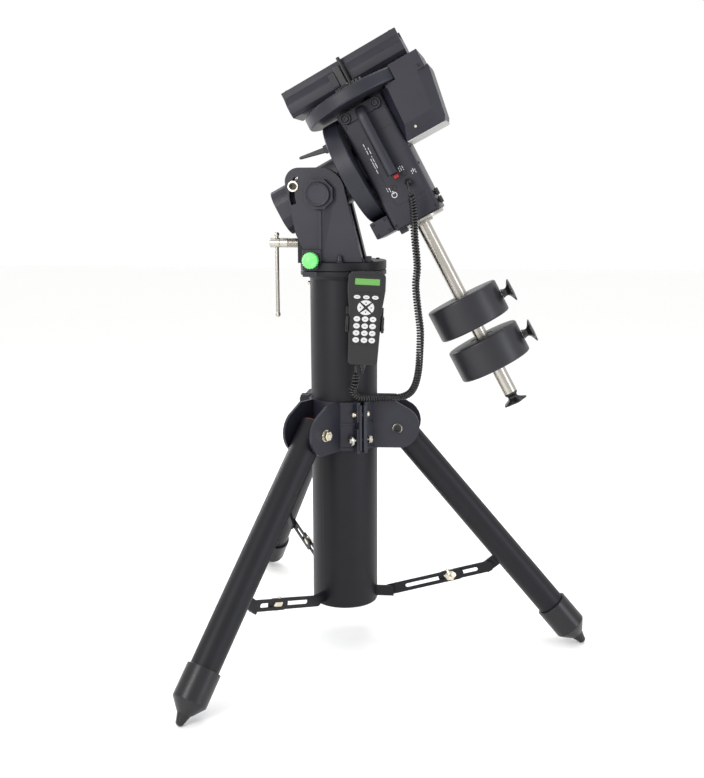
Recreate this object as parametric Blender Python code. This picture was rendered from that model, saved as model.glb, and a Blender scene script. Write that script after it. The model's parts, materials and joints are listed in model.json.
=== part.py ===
"""Motorised equatorial telescope mount on a folding pier tripod.

Metres, +Z up, floor at z = 0. Everything is drawn around the pier's axis and then moved together, so
that the origin ends under the middle of the part. The head's meridian plane is the XZ plane and its
polar axis climbs towards +X. Head pieces are drawn in the head frame: x along the polar axis, z along
the declination axis, origin where the two axes cross.
"""

import math

import bmesh
import bpy
from mathutils import Matrix, Vector

GAP = 0.0003

# Where the pier stands, from the middle of the part's footprint
PIER_AT = (-0.1192, 0.0175, 0.0)

# Pier and its plates
PIER_R = 0.0762
PIER_WALL = 0.0045
PIER_BOTTOM = 0.098
PIER_TOP = 0.865
FLANGE_R = 0.0972
FLANGE_T = 0.0132
BASE_TOP = 0.898
AZIMUTH_KNOB = (-0.056, 0, 0.9025)
AZIMUTH_KNOB_Y = (0.091, 0.108)

# Legs: a pivot in the collar, the foot on the floor
LEG_AZIMUTHS = {"right": 3.6, "front": -116.4, "back": 123.6}
LEG_R = 0.03175
LEG_WALL = 0.0025
LEG_PIVOT = (0.126, 0.519)
LEG_SPREAD = math.radians(40.36)
LEG_LENGTH = LEG_PIVOT[1] / math.cos(LEG_SPREAD)
LEG_ABOVE_PIVOT = 0.022
FOOT_TIP_R = 0.0095
FOOT_CAP_R = 0.0372
EAR_IN = 0.0345
EAR_T = 0.006
COLLAR_Z = (0.473, 0.585)
COLLAR_R = (PIER_R + GAP, 0.0815)
FLANGE_REACH = 0.022
FLANGE_TURN = 57.0

# Braces: two slotted plates side by side between a lug on the pier and a lug on the leg
BRACE_PIER = (0.105, 0.117)
BRACE_LEG = (0.338, 0.181)
BRACE_KNOB = 0.62
BRACE_INNER = 0.70
BRACE_H = 0.026
BRACE_T = 0.004
SLOT_W = 0.0095

# Head axes
POLAR_ALTITUDE = math.radians(28.0)
AXES_CROSS = (0.100, 0.0, 1.1305)
ALT_PIVOT = (-0.039, 0.0, 1.045)
CHEEK_Y = (0.057, 0.078)
CHEEK_R = 0.057
ALT_BOSS = 0.032
ALT_PIN_R = 0.020
ALT_CAP_R = 0.0226
LOCK_R = 0.0605
LOCK_AT = math.radians(163.7)
LOCK_SLOT = (math.radians(146), math.radians(201))

# Polar housing, declination housing and what is on them
TUBE_U = (-0.268, -0.0983)
GEAR_U = (-0.098, -0.0603)
GEAR_R = 0.118
DEC_BOX_U = 0.0555
DEC_BOX_Y = 0.062
DEC_BOX_W = (-0.158, 0.117)
SHAFT_R = 0.025
BORE_R = 0.0256
DISC_R = 0.126
DISC_W = (0.123, 0.152)
HUB_R = 0.058
SADDLE_W = (0.162, 0.222)
SADDLE_L = 0.141
SADDLE_Y = 0.054
CHANNEL_LIP_Y = 0.032
CHANNEL_FLOOR_Y = 0.030
COVER_Y = 0.085
SWITCH = ((-0.0035, 0.0075), (-0.0660, -0.0600), (-0.0600, -0.0520))
SWITCH_GAP = 0.0005
SWITCH_TRAVEL = 0.0015
RING_R = 0.054
RING_W = (-0.1668, -0.1583)
BAR_R = 0.0155
BAR_END = -0.598
WEIGHT_R = 0.083
WEIGHT_T = 0.074
WEIGHT_W = {"upper": -0.3905, "lower": -0.4920}

# Hand controller on the pier
HAND_AZIMUTH = math.radians(-78)
HAND_OFFSET = 0.042
HAND_BACK = 0.099
HAND_T = 0.027
HAND_Z = 0.779
HAND_TILT = math.radians(3.3)
CORD_R = 0.0075

COLOURS = {
    "powder_coat": ((0.030, 0.030, 0.034), 0.55, 0.0),
    "cast_black": ((0.035, 0.035, 0.040), 0.60, 0.0),
    "bright_steel": ((0.62, 0.60, 0.56), 0.25, 1.0),
    "iron_black": ((0.040, 0.040, 0.046), 0.65, 0.0),
    "black_plastic": ((0.018, 0.018, 0.020), 0.45, 0.0),
    "rubber": ((0.015, 0.015, 0.015), 0.85, 0.0),
    "green_plastic": ((0.32, 0.95, 0.32), 0.40, 0.0),
    "key_white": ((0.80, 0.80, 0.78), 0.50, 0.0),
    "red_plastic": ((0.60, 0.03, 0.03), 0.35, 0.0),
}


# ---------------------------------------------------------------- helpers


def clear_scene():
    for obj in list(bpy.data.objects):
        bpy.data.objects.remove(obj, do_unlink=True)


def material_for(name, look):
    colour, roughness, metallic = COLOURS[look]
    material = bpy.data.materials.new(name)
    material.use_nodes = True
    shader = material.node_tree.nodes["Principled BSDF"]
    shader.inputs["Base Color"].default_value = (*colour, 1.0)
    shader.inputs["Roughness"].default_value = roughness
    shader.inputs["Metallic"].default_value = metallic
    return material


def frame(name, location, rotation=(0, 0, 0), parent=None):
    """An empty on a joint's axis, which its pieces hang from."""
    empty = bpy.data.objects.new(name, None)
    bpy.context.scene.collection.objects.link(empty)
    empty.location = location
    empty.rotation_euler = rotation
    empty.parent = parent
    return empty


def finish(name, bm, look, parent=None, location=(0, 0, 0), rotation=(0, 0, 0)):
    """Turns a bmesh into a named object with its own material."""
    bmesh.ops.remove_doubles(bm, verts=bm.verts, dist=1e-6)
    bmesh.ops.recalc_face_normals(bm, faces=bm.faces)
    mesh = bpy.data.meshes.new(name)
    bm.to_mesh(mesh)
    bm.free()
    mesh.shade_smooth()
    mesh.set_sharp_from_angle(angle=math.radians(35))
    obj = bpy.data.objects.new(name, mesh)
    bpy.context.scene.collection.objects.link(obj)
    obj.location = location
    obj.rotation_euler = rotation
    obj.parent = parent
    if look:
        mesh.materials.append(material_for(name, look))
    return obj


def boolean(obj, other, operation):
    """Applies other to obj with a live modifier and hides other as a helper."""
    modifier = obj.modifiers.new(operation.title(), "BOOLEAN")
    modifier.operation = operation
    modifier.object = other
    modifier.solver = "EXACT"
    other.hide_render = True
    other.display_type = "WIRE"
    return obj


def cut(obj, bm, **placing):
    return boolean(obj, finish(obj.name + "_cutter", bm, None, **placing), "DIFFERENCE")


def add(obj, bm, **placing):
    return boolean(obj, finish(obj.name + "_joined", bm, None, **placing), "UNION")


def soften(obj, width, segments=2, angle=40):
    modifier = obj.modifiers.new("Bevel", "BEVEL")
    modifier.width = width
    modifier.segments = segments
    modifier.limit_method = "ANGLE"
    modifier.angle_limit = math.radians(angle)
    modifier.use_clamp_overlap = True
    return obj


def block(x, y, z):
    """A box between two values on each axis."""
    bm = bmesh.new()
    bmesh.ops.create_cube(bm, size=1.0)
    for vert in bm.verts:
        for axis, span in enumerate((x, y, z)):
            vert.co[axis] = span[0] + (vert.co[axis] + 0.5) * (span[1] - span[0])
    return bm


def prism(outline, span, axis="Z"):
    """An outline of (a, b) points drawn over a span. Axis Y takes (x, z) points, axis X takes (y, z)."""
    def place(a, b, c):
        return {"X": (c, a, b), "Y": (a, c, b), "Z": (a, b, c)}[axis]

    bm = bmesh.new()
    ends = [[bm.verts.new(place(a, b, c)) for a, b in outline] for c in span]
    bm.faces.new(ends[0])
    bm.faces.new(ends[1])
    for i in range(len(outline)):
        j = (i + 1) % len(outline)
        bm.faces.new((ends[0][i], ends[0][j], ends[1][j], ends[1][i]))
    return bm


def turned(profile, steps=32, axis="Z"):
    """A solid of revolution. The profile is (radius, height) from one end on the axis to the other,
    or a closed loop clear of the axis."""
    on_axis = profile[0][0] == 0 and profile[-1][0] == 0
    bm = bmesh.new()
    rings = []
    for radius, height in profile:
        if radius == 0:
            rings.append([bm.verts.new((0, 0, height))])
            continue
        turn = [2 * math.pi * i / steps for i in range(steps)]
        rings.append([bm.verts.new((radius * math.cos(a), radius * math.sin(a), height)) for a in turn])
    pairs = list(zip(rings, rings[1:]))
    if not on_axis:
        pairs.append((rings[-1], rings[0]))
    for low, high in pairs:
        for i in range(steps):
            j = (i + 1) % steps
            corners = [low[i % len(low)], low[j % len(low)], high[j % len(high)], high[i % len(high)]]
            unique = list(dict.fromkeys(corners))
            bm.faces.new(unique)
    if axis == "X":
        bm.transform(Matrix.Rotation(math.pi / 2, 4, "Y"))
    if axis == "Y":
        bm.transform(Matrix.Rotation(-math.pi / 2, 4, "X"))
    return bm


def rod(radius, span, steps=32, axis="Z", at=(0, 0, 0)):
    bm = turned([(0, span[0]), (radius, span[0]), (radius, span[1]), (0, span[1])], steps, axis)
    bm.transform(Matrix.Translation(at))
    return bm


def tube(outer, inner, span, steps=32):
    return turned([(outer, span[0]), (outer, span[1]), (inner, span[1]), (inner, span[0])], steps)


def hull(points):
    bm = bmesh.new()
    verts = [bm.verts.new(p) for p in points]
    made = bmesh.ops.convex_hull(bm, input=verts)
    bmesh.ops.delete(bm, geom=made["geom_interior"], context="VERTS")
    return bm


def arc(centre, radius, start, end, steps):
    """Points of an arc, angles in radians."""
    angles = [start + (end - start) * i / steps for i in range(steps + 1)]
    return [(centre[0] + radius * math.cos(a), centre[1] + radius * math.sin(a)) for a in angles]


def slot_outline(start, end, width, steps=6):
    """A straight slot between two centres, with round ends."""
    along = math.atan2(end[1] - start[1], end[0] - start[0])
    half = math.pi / 2
    far_end = arc(end, width / 2, along - half, along + half, steps)
    return far_end + arc(start, width / 2, along + half, along + 3 * half, steps)


def scalloped(radius, depth, lobes, steps):
    """A knob's rim: a circle that swells and shrinks lobes times."""
    rim = []
    for i in range(steps):
        a = 2 * math.pi * i / steps
        r = radius + depth * math.cos(lobes * a)
        rim.append((r * math.cos(a), r * math.sin(a)))
    return rim


def radial(azimuth):
    """Rotation that turns a piece drawn in the XZ plane to an azimuth in degrees."""
    return (0, 0, math.radians(azimuth))


# ---------------------------------------------------------------- pier


def make_pier():
    pier = finish("pier_tube", tube(PIER_R, PIER_R - PIER_WALL, (PIER_BOTTOM, PIER_TOP), 48), "powder_coat")
    lug = (PIER_R - 0.003, BRACE_PIER[0] + 0.011)
    z = (BRACE_PIER[1] - 0.012, BRACE_PIER[1] + 0.012)
    for azimuth in LEG_AZIMUTHS.values():
        add(pier, block(lug, (-0.0125, -0.0045), z), rotation=radial(azimuth))
    finish("pier_bottom_cap", turned([
        (0, PIER_BOTTOM - 0.003), (PIER_R - 0.001, PIER_BOTTOM - 0.003), (PIER_R - 0.001, PIER_BOTTOM - GAP),
        (PIER_R - PIER_WALL - GAP, PIER_BOTTOM - GAP), (PIER_R - PIER_WALL - GAP, PIER_BOTTOM + 0.012),
        (0, PIER_BOTTOM + 0.012)], 48), "black_plastic")
    finish("pier_flange", turned([
        (0, PIER_TOP - 0.014), (PIER_R - PIER_WALL - GAP, PIER_TOP - 0.014),
        (PIER_R - PIER_WALL - GAP, PIER_TOP + GAP), (FLANGE_R - 0.0015, PIER_TOP + GAP),
        (FLANGE_R, PIER_TOP + 0.0018), (FLANGE_R, PIER_TOP + FLANGE_T - 0.0015),
        (FLANGE_R - 0.0015, PIER_TOP + FLANGE_T), (0, PIER_TOP + FLANGE_T)], 48), "powder_coat")


def ear_outline():
    """Side view of a collar ear, as (radius, z)."""
    centre = (LEG_PIVOT[0], LEG_PIVOT[1] + 0.003)
    inner = 0.0692
    bottom, top = COLLAR_Z
    edge = arc(centre, 0.050, math.radians(-75), math.radians(52), 10)
    return [(inner, bottom)] + edge + [(LEG_PIVOT[0] - 0.010, top), (inner, top)]


def make_collar():
    """Three clamp segments around the pier, each with two ears for a leg and two bolting flanges."""
    spread = math.radians(59)
    for name, azimuth in LEG_AZIMUTHS.items():
        inner = arc((0, 0), COLLAR_R[0], -spread, spread, 12)
        outer = arc((0, 0), COLLAR_R[1], spread, -spread, 12)
        segment = finish(f"collar_segment_{name}", prism(inner + outer, COLLAR_Z), "cast_black",
                         rotation=radial(azimuth))
        for side in (-1, 1):
            y = sorted((side * EAR_IN, side * (EAR_IN + EAR_T)))
            add(segment, prism(ear_outline(), y, "Y"), rotation=radial(azimuth))
            flange = block((COLLAR_R[0] + 0.003, COLLAR_R[1] + FLANGE_REACH), (-0.003, 0.003),
                           (COLLAR_Z[0] + 0.004, COLLAR_Z[1] - 0.004))
            add(segment, flange, rotation=radial(azimuth + side * FLANGE_TURN))
        hole = rod(0.0055, (-0.06, 0.06), 16, "Y", (LEG_PIVOT[0], 0, LEG_PIVOT[1]))
        cut(segment, hole, rotation=radial(azimuth))


# ---------------------------------------------------------------- legs and braces


def make_leg(name, azimuth):
    """One leg, hung from an empty on its fold axis. Inside it, x is outward and z up at the pivot."""
    pivot = frame(f"leg_axis_{name}", Matrix.Rotation(math.radians(azimuth), 3, "Z") @ Vector(
        (LEG_PIVOT[0], 0, LEG_PIVOT[1])), radial(azimuth))
    lean = (0, -LEG_SPREAD, 0)
    tip = -(LEG_LENGTH - FOOT_TIP_R / math.cos(LEG_SPREAD))
    tube_end = tip + 0.060
    shape = tube(LEG_R, LEG_R - LEG_WALL, (tube_end, LEG_ABOVE_PIVOT))
    leg = finish(f"leg_tube_{name}", shape, "powder_coat", pivot, rotation=lean)
    knee = (BRACE_LEG[0] - LEG_PIVOT[0], BRACE_LEG[1] - LEG_PIVOT[1])
    tilt = math.atan2(knee[0], -knee[1]) - LEG_SPREAD
    reach = math.hypot(*knee)
    at = (reach * math.sin(tilt), -reach * math.cos(tilt))
    lug = block((at[0] - 0.011, -LEG_R + 0.0015), (0.0045, 0.0125), (at[1] - 0.013, at[1] + 0.013))
    add(leg, lug, parent=pivot, rotation=lean)
    cut(leg, rod(0.0055, (-0.05, 0.05), 16, "Y"), parent=pivot, rotation=lean)
    ball = [(FOOT_TIP_R * math.cos(a), tip + FOOT_TIP_R * math.sin(a))
            for a in (math.radians(d) for d in (-60, -30, 0))]
    cup = tip + 0.112
    foot = [(0, tip - FOOT_TIP_R)] + ball + [
        (0.0150, tip + 0.016), (0.0175, tip + 0.018), (FOOT_CAP_R - 0.001, tip + 0.040),
        (FOOT_CAP_R, tip + 0.042), (FOOT_CAP_R, cup), (LEG_R + GAP, cup),
        (LEG_R + GAP, tube_end - GAP), (0, tube_end - GAP)]
    finish(f"leg_foot_{name}", turned(foot), "rubber", pivot, rotation=lean)
    bolt = turned([(0, -0.050), (0.0085, -0.050), (0.0095, -0.048), (0.0095, -EAR_IN - EAR_T - GAP),
                   (0.0050, -EAR_IN - EAR_T - GAP), (0.0050, EAR_IN + EAR_T + GAP),
                   (0.0095, EAR_IN + EAR_T + GAP), (0.0095, 0.048), (0.0085, 0.050), (0, 0.050)], 16, "Y")
    finish(f"leg_pivot_bolt_{name}", bolt, "bright_steel", pivot)
    make_brace(name, azimuth, pivot)


def make_brace(name, azimuth, pivot):
    """The inner plate swings on the pier's lug, the outer plate and its knob on the leg's lug."""
    run = (BRACE_LEG[0] - BRACE_PIER[0], BRACE_LEG[1] - BRACE_PIER[1])
    length = math.hypot(*run)
    slope = math.atan2(run[1], run[0])
    pier_axis = frame(f"brace_axis_pier_{name}", Matrix.Rotation(math.radians(azimuth), 3, "Z") @ Vector(
        (BRACE_PIER[0], 0, BRACE_PIER[1])), (0, -slope, math.radians(azimuth)))
    inner_y = (-0.0042 + GAP, -0.0042 + GAP + BRACE_T - 2 * GAP)
    outer_y = (GAP, BRACE_T)
    knob_at = BRACE_KNOB * length
    outline = slot_outline((0, 0), (length * BRACE_INNER, 0), BRACE_H, 8)
    inner = finish(f"brace_inner_{name}", prism(outline, inner_y, "Y"), "powder_coat", pier_axis)
    inner_slot = slot_outline((0.045, 0), (length * BRACE_INNER - 0.009, 0), SLOT_W)
    cut(inner, prism(inner_slot, (-0.02, 0.02), "Y"), parent=pier_axis)
    leg_axis = frame(f"brace_axis_leg_{name}", (0, 0, 0), parent=pivot)
    leg_axis.location = (BRACE_LEG[0] - LEG_PIVOT[0], 0, BRACE_LEG[1] - LEG_PIVOT[1])
    leg_axis.rotation_euler = (0, -slope, 0)
    end = -(length - knob_at) - 0.016
    outer = finish(f"brace_outer_{name}", prism(slot_outline((0, 0), (end, 0), BRACE_H, 8), outer_y, "Y"),
                   "powder_coat", leg_axis)
    outer_slot = slot_outline((-0.030, 0), (end + 0.006, 0), SLOT_W)
    cut(outer, prism(outer_slot, (-0.02, 0.02), "Y"), parent=leg_axis)
    placing = {"parent": leg_axis, "location": (-(length - knob_at), 0, 0)}
    lobes = prism(scalloped(0.0135, 0.0022, 6, 24), (-0.0185, -0.0082), "Y")
    knob = finish(f"brace_knob_{name}", lobes, "bright_steel", **placing)
    add(knob, rod(0.0035, (-0.010, 0.012), 12, "Y"), **placing)
    add(knob, rod(0.0075, (0.0055, 0.0115), 6, "Y"), **placing)


# ---------------------------------------------------------------- fork


def cheek_outline(front):
    """Fork cheek in the XZ plane. front moves the edge towards +X."""
    x, z = ALT_PIVOT[0], ALT_PIVOT[2]
    back = -0.0855
    top = z + CHEEK_R
    crown = arc((x + front, z), CHEEK_R, math.radians(6), math.radians(90), 10)
    shoulder = arc((back, top - 0.030), 0.030, math.radians(90), math.radians(190), 8)
    return ([(0.056 + front, BASE_TOP + GAP)] + crown + shoulder
            + [(-0.092, 0.957), (-0.072, 0.918), (-0.066, BASE_TOP + GAP)])


def lock_slot():
    """The arc-shaped slot for the altitude lock bolt, around the altitude axis."""
    centre = (ALT_PIVOT[0], ALT_PIVOT[2])
    outer = arc(centre, LOCK_R + 0.0058, *LOCK_SLOT, 10)
    inner = arc(centre, LOCK_R - 0.0058, *reversed(LOCK_SLOT), 10)
    return outer + inner


def make_fork(axis):
    base = finish("azimuth_base", turned([
        (0, PIER_TOP + FLANGE_T + GAP), (FLANGE_R - 0.0015, PIER_TOP + FLANGE_T + GAP),
        (FLANGE_R, PIER_TOP + FLANGE_T + 0.0018), (FLANGE_R, BASE_TOP - 0.0015),
        (FLANGE_R - 0.0015, BASE_TOP), (0, BASE_TOP)], 48), "powder_coat", axis)
    add(base, block((-0.094, -0.0665), (-0.052, 0.052), (BASE_TOP - 0.004, 0.951)), parent=axis)
    cut(base, rod(0.0118, (-0.11, -0.05), 24, "X", (0, 0, 0.936)), parent=axis)
    for side, name, front in ((-1, "near", 0.0), (1, "far", -0.014)):
        y = sorted(side * v for v in CHEEK_Y)
        cheek = finish(f"fork_cheek_{name}", prism(cheek_outline(front), y, "Y"), "cast_black", axis)
        rib = block((-0.041, -0.034), sorted((side * 0.075, side * 0.082)), (BASE_TOP + 0.002, 1.010))
        add(cheek, rib, parent=axis)
        octagon = arc((ALT_PIVOT[0], ALT_PIVOT[2]), ALT_BOSS / math.cos(math.pi / 8),
                      math.pi / 8, 2 * math.pi - math.pi / 8, 7)
        add(cheek, prism(octagon, sorted((side * 0.070, side * 0.090)), "Y"), parent=axis)
        cut(cheek, rod(ALT_PIN_R + GAP, (-0.12, 0.12), 32, "Y", ALT_PIVOT), parent=axis)
        cut(cheek, prism(lock_slot(), (-0.10, 0.10), "Y"), parent=axis)
        pin = turned([(0, 0.043), (ALT_PIN_R, 0.043), (ALT_PIN_R, 0.0903), (ALT_CAP_R, 0.0903),
                      (ALT_CAP_R, 0.0955), (ALT_CAP_R - 0.002, 0.098), (0, 0.098)], 32, "Y")
        if side < 0:
            bmesh.ops.transform(pin, matrix=Matrix.Rotation(math.pi, 4, "Z"), verts=pin.verts)
        finish(f"altitude_pin_{name}", pin, "cast_black", axis, location=ALT_PIVOT)
        make_azimuth_knob(axis, side, name)


def make_azimuth_knob(axis, side, name):
    """Scalloped knob on a screw that pushes the fork round. The near one is green."""
    grip = prism(scalloped(0.0180, 0.0006, 10, 40), sorted(side * y for y in AZIMUTH_KNOB_Y), "Y")
    look = "green_plastic" if side < 0 else "black_plastic"
    knob = finish(f"azimuth_knob_{name}", grip, look, axis, location=AZIMUTH_KNOB)
    stem = rod(0.004, sorted((side * 0.0785, side * (AZIMUTH_KNOB_Y[0] + 0.008))), 12, "Y")
    add(knob, stem, parent=axis, location=AZIMUTH_KNOB)
    soften(knob, 0.0015, 2, 60)


def make_altitude_screw(axis):
    at = (0, 0, 0.936)
    shape = rod(0.0112, (-0.169, -0.060), 24, "X")
    screw = finish("altitude_screw", shape, "bright_steel", axis, location=at)
    cut(screw, rod(0.0050, (-0.03, 0.03), 16, "Z", (-0.154, 0, 0)), parent=axis, location=at)
    ball = [(0, -0.1695), (0.0045, -0.1680), (0.0062, -0.1635), (0.0046, -0.1590), (0.0045, 0.0150),
            (0.0062, 0.0180), (0.0045, 0.0228), (0, 0.0240)]
    finish("altitude_screw_bar", turned(ball, 16), "bright_steel", axis, location=(-0.154, 0, 0.936))


# ---------------------------------------------------------------- polar axis


def rounded_rectangle(half, low, high, radius, steps=5):
    """A rectangle with round corners, from -half to half and from low to high."""
    corners = [(half - radius, high - radius), (radius - half, high - radius),
               (radius - half, low + radius), (half - radius, low + radius)]
    points = []
    for quarter, corner in enumerate(corners):
        start = quarter * math.pi / 2
        points += arc(corner, radius, start, start + math.pi / 2, steps)
    return points


def make_polar_housing(axis):
    """The static polar housing between the cheeks, and the drum around the polar worm wheel."""
    section = rounded_rectangle(0.0545, -0.054, 0.050, 0.036)
    housing = finish("polar_housing", prism(section, TUBE_U, "X"), "cast_black", axis)
    cut(housing, rod(BORE_R, (-0.262, -0.05), 32, "X"), parent=axis)
    pivot = Matrix.Rotation(POLAR_ALTITUDE, 3, "Y") @ (Vector(ALT_PIVOT) - Vector(AXES_CROSS))
    for side in (-1, 1):
        hole = rod(ALT_PIN_R + GAP, sorted((side * 0.0427, side * 0.07)), 32, "Y")
        cut(housing, hole, parent=axis, location=pivot)
    lock = Vector((ALT_PIVOT[0] + LOCK_R * math.cos(LOCK_AT), 0, ALT_PIVOT[2] + LOCK_R * math.sin(LOCK_AT)))
    lock_at = Matrix.Rotation(POLAR_ALTITUDE, 3, "Y") @ (lock - Vector(AXES_CROSS))
    cut(housing, rod(0.0043, (-0.07, -0.0407), 16, "Y"), parent=axis, location=lock_at)
    bolt = turned([(0, 0.041), (0.004, 0.041), (0.004, CHEEK_Y[1] + GAP), (0.0118, CHEEK_Y[1] + GAP),
                   (0.0118, 0.0805), (0.0072, 0.0805), (0.0072, 0.0865), (0.0040, 0.0865), (0.0040, 0.0835),
                   (0, 0.0835)], 24, "Y")
    bolt.transform(Matrix.Rotation(math.pi, 4, "Z"))
    finish("altitude_lock_bolt", bolt, "bright_steel", axis, location=lock_at)
    drum = finish("polar_gear_drum", turned([
        (BORE_R, GEAR_U[0]), (GEAR_R - 0.002, GEAR_U[0]), (GEAR_R, GEAR_U[0] + 0.002),
        (GEAR_R, GEAR_U[1] - 0.002), (GEAR_R - 0.002, GEAR_U[1]), (BORE_R, GEAR_U[1])], 64, "X"),
        "cast_black", axis)
    clevis = block((GEAR_U[0] - 0.012, GEAR_U[0] + 0.002), (-0.0680, -0.0560), (0.0590, 0.0770))
    add(drum, clevis, parent=axis)
    make_clutch_lever(axis)


def make_clutch_lever(axis):
    """A tapered lever that clamps the polar axis, beside its clevis on the drum."""
    length = 0.062
    outline = arc((0, 0), 0.0065, math.radians(-90), math.radians(90), 6)
    outline += arc((-length, 0), 0.0032, math.radians(90), math.radians(270), 6)
    lever = finish("polar_clutch_lever", prism(outline, (-0.0045, 0.0045), "Y"), "black_plastic", axis,
                   location=(GEAR_U[0] - 0.0075, -0.0506, 0.0680), rotation=(0, math.radians(11), 0))
    soften(lever, 0.0012, 2, 60)


def make_declination_housing(axis):
    outline = rounded_rectangle(DEC_BOX_U, -DEC_BOX_Y, DEC_BOX_Y, 0.008, 3)
    housing = finish("declination_housing", prism(outline, DEC_BOX_W), "cast_black", axis)
    cut(housing, rod(BORE_R, (-0.120, 0.20)), parent=axis)
    (u_low, u_high), (y_out, y_in), (w_low, w_high) = SWITCH
    pocket = block((u_low - SWITCH_GAP, u_high + SWITCH_GAP), (y_out, y_in + SWITCH_GAP + SWITCH_TRAVEL),
                   (w_low - SWITCH_GAP, w_high + SWITCH_GAP))
    cut(housing, pocket, parent=axis)
    finish("declination_switch", block(*SWITCH), "red_plastic", axis)
    shaft = turned([(0, -0.245), (SHAFT_R, -0.245), (SHAFT_R, GEAR_U[1] + GAP), (0.050, GEAR_U[1] + GAP),
                    (0.050, -DEC_BOX_U - GAP), (0, -DEC_BOX_U - GAP)], 32, "X")
    finish("polar_shaft", shaft, "bright_steel", axis)
    motor = finish("polar_motor_box", block((-0.0995, -DEC_BOX_U - GAP), (-0.060, 0.060), (-0.157, -0.1186)),
                   "cast_black", axis)
    soften(motor, 0.003)
    make_motor_cover(axis)
    make_handle(axis)


def make_motor_cover(axis):
    """Faceted casing of the declination worm and motor, cut away for the gear disc."""
    inner_y, left = 0.058, DEC_BOX_U + GAP
    middle = [(left, -0.002), (0.147, -0.002), (0.153, 0.008), (0.169, 0.112), (0.169, 0.120),
              (left, 0.120)]
    face = [(0.070, 0.030), (0.136, 0.030), (0.144, 0.116), (0.073, 0.116)]
    points = [(u, side * inner_y, w) for u, w in middle for side in (-1, 1)]
    points += [(u, side * COVER_Y, w) for u, w in face for side in (-1, 1)]
    cover = finish("declination_motor_cover", hull(points), "cast_black", axis)
    add(cover, block((0.070, 0.1625), (-COVER_Y, COVER_Y), (0.114, 0.154)), parent=axis)
    cut(cover, rod(DISC_R + 0.002, (DISC_W[0] - 0.0025, 0.20), 64), parent=axis)
    cut(cover, block((0.0, DEC_BOX_U + GAP), (-0.1, 0.1), (-0.2, 0.3)), parent=axis)


def make_handle(axis):
    """Carrying handle on the near face, with its two-ear foot plate."""
    front, back = -0.0990, -DEC_BOX_Y - GAP
    grip = 0.019
    reach = front + grip
    outline = [(back, 0.104), (front + 0.010, 0.104), (front + 0.003, 0.099), (front, 0.090),
               (front, -0.050), (back, -0.050), (back, -0.034), (reach, -0.034),
               (reach, 0.078), (reach + 0.004, 0.084), (back, 0.084)]
    handle = finish("carry_handle", prism(outline, (-0.0115, 0.0115), "X"), "cast_black", axis)
    ears = slot_outline((-0.038, 0.103), (0.034, 0.103), 0.024)
    add(handle, prism(ears, (-DEC_BOX_Y - 0.005, back), "Y"), parent=axis)
    soften(handle, 0.004, 2, 60)


def make_counterweights(axis):
    ring = turned([(BAR_R + GAP, RING_W[0]), (RING_R - 0.001, RING_W[0]), (RING_R, RING_W[0] + 0.001),
                   (RING_R, RING_W[1]), (BAR_R + GAP, RING_W[1])], 48)
    finish("shaft_ring", ring, "bright_steel", axis)
    finish("counterweight_shaft", rod(BAR_R, (BAR_END, RING_W[1])), "bright_steel", axis)
    knob = turned([(0, -0.0240), (0.0270, -0.0240), (0.0285, -0.0215), (0.0200, -0.0180),
                   (0.0110, -0.0120), (0.0135, -0.0060), (0.0150, -GAP), (0, -GAP)], 32)
    finish("end_stop_knob", knob, "black_plastic", axis, location=(0, 0, BAR_END))
    for name, centre in WEIGHT_W.items():
        half, edge = WEIGHT_T / 2, 0.003
        bore = BAR_R + 0.0005
        profile = [(bore, -half), (WEIGHT_R - edge, -half), (WEIGHT_R, -half + edge),
                   (WEIGHT_R, half - edge), (WEIGHT_R - edge, half), (bore, half)]
        weight = finish(f"counterweight_{name}", turned(profile, 48), "iron_black", axis,
                        location=(0, 0, centre))
        cut(weight, rod(0.0044, (0.030, 0.10), 12, "X"), parent=axis, location=(0, 0, centre))
        trumpet = turned([(0, 0.0320), (0.0040, 0.0320), (0.0040, WEIGHT_R + 0.001),
                          (0.0105, WEIGHT_R + 0.003), (0.0085, WEIGHT_R + 0.008),
                          (0.0085, WEIGHT_R + 0.013), (0.0190, WEIGHT_R + 0.019),
                          (0.0270, WEIGHT_R + 0.0225), (0.0270, WEIGHT_R + 0.0255),
                          (0, WEIGHT_R + 0.0255)], 24, "X")
        finish(f"counterweight_knob_{name}", trumpet, "black_plastic", axis, location=(0, 0, centre))


# ---------------------------------------------------------------- declination axis


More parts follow.
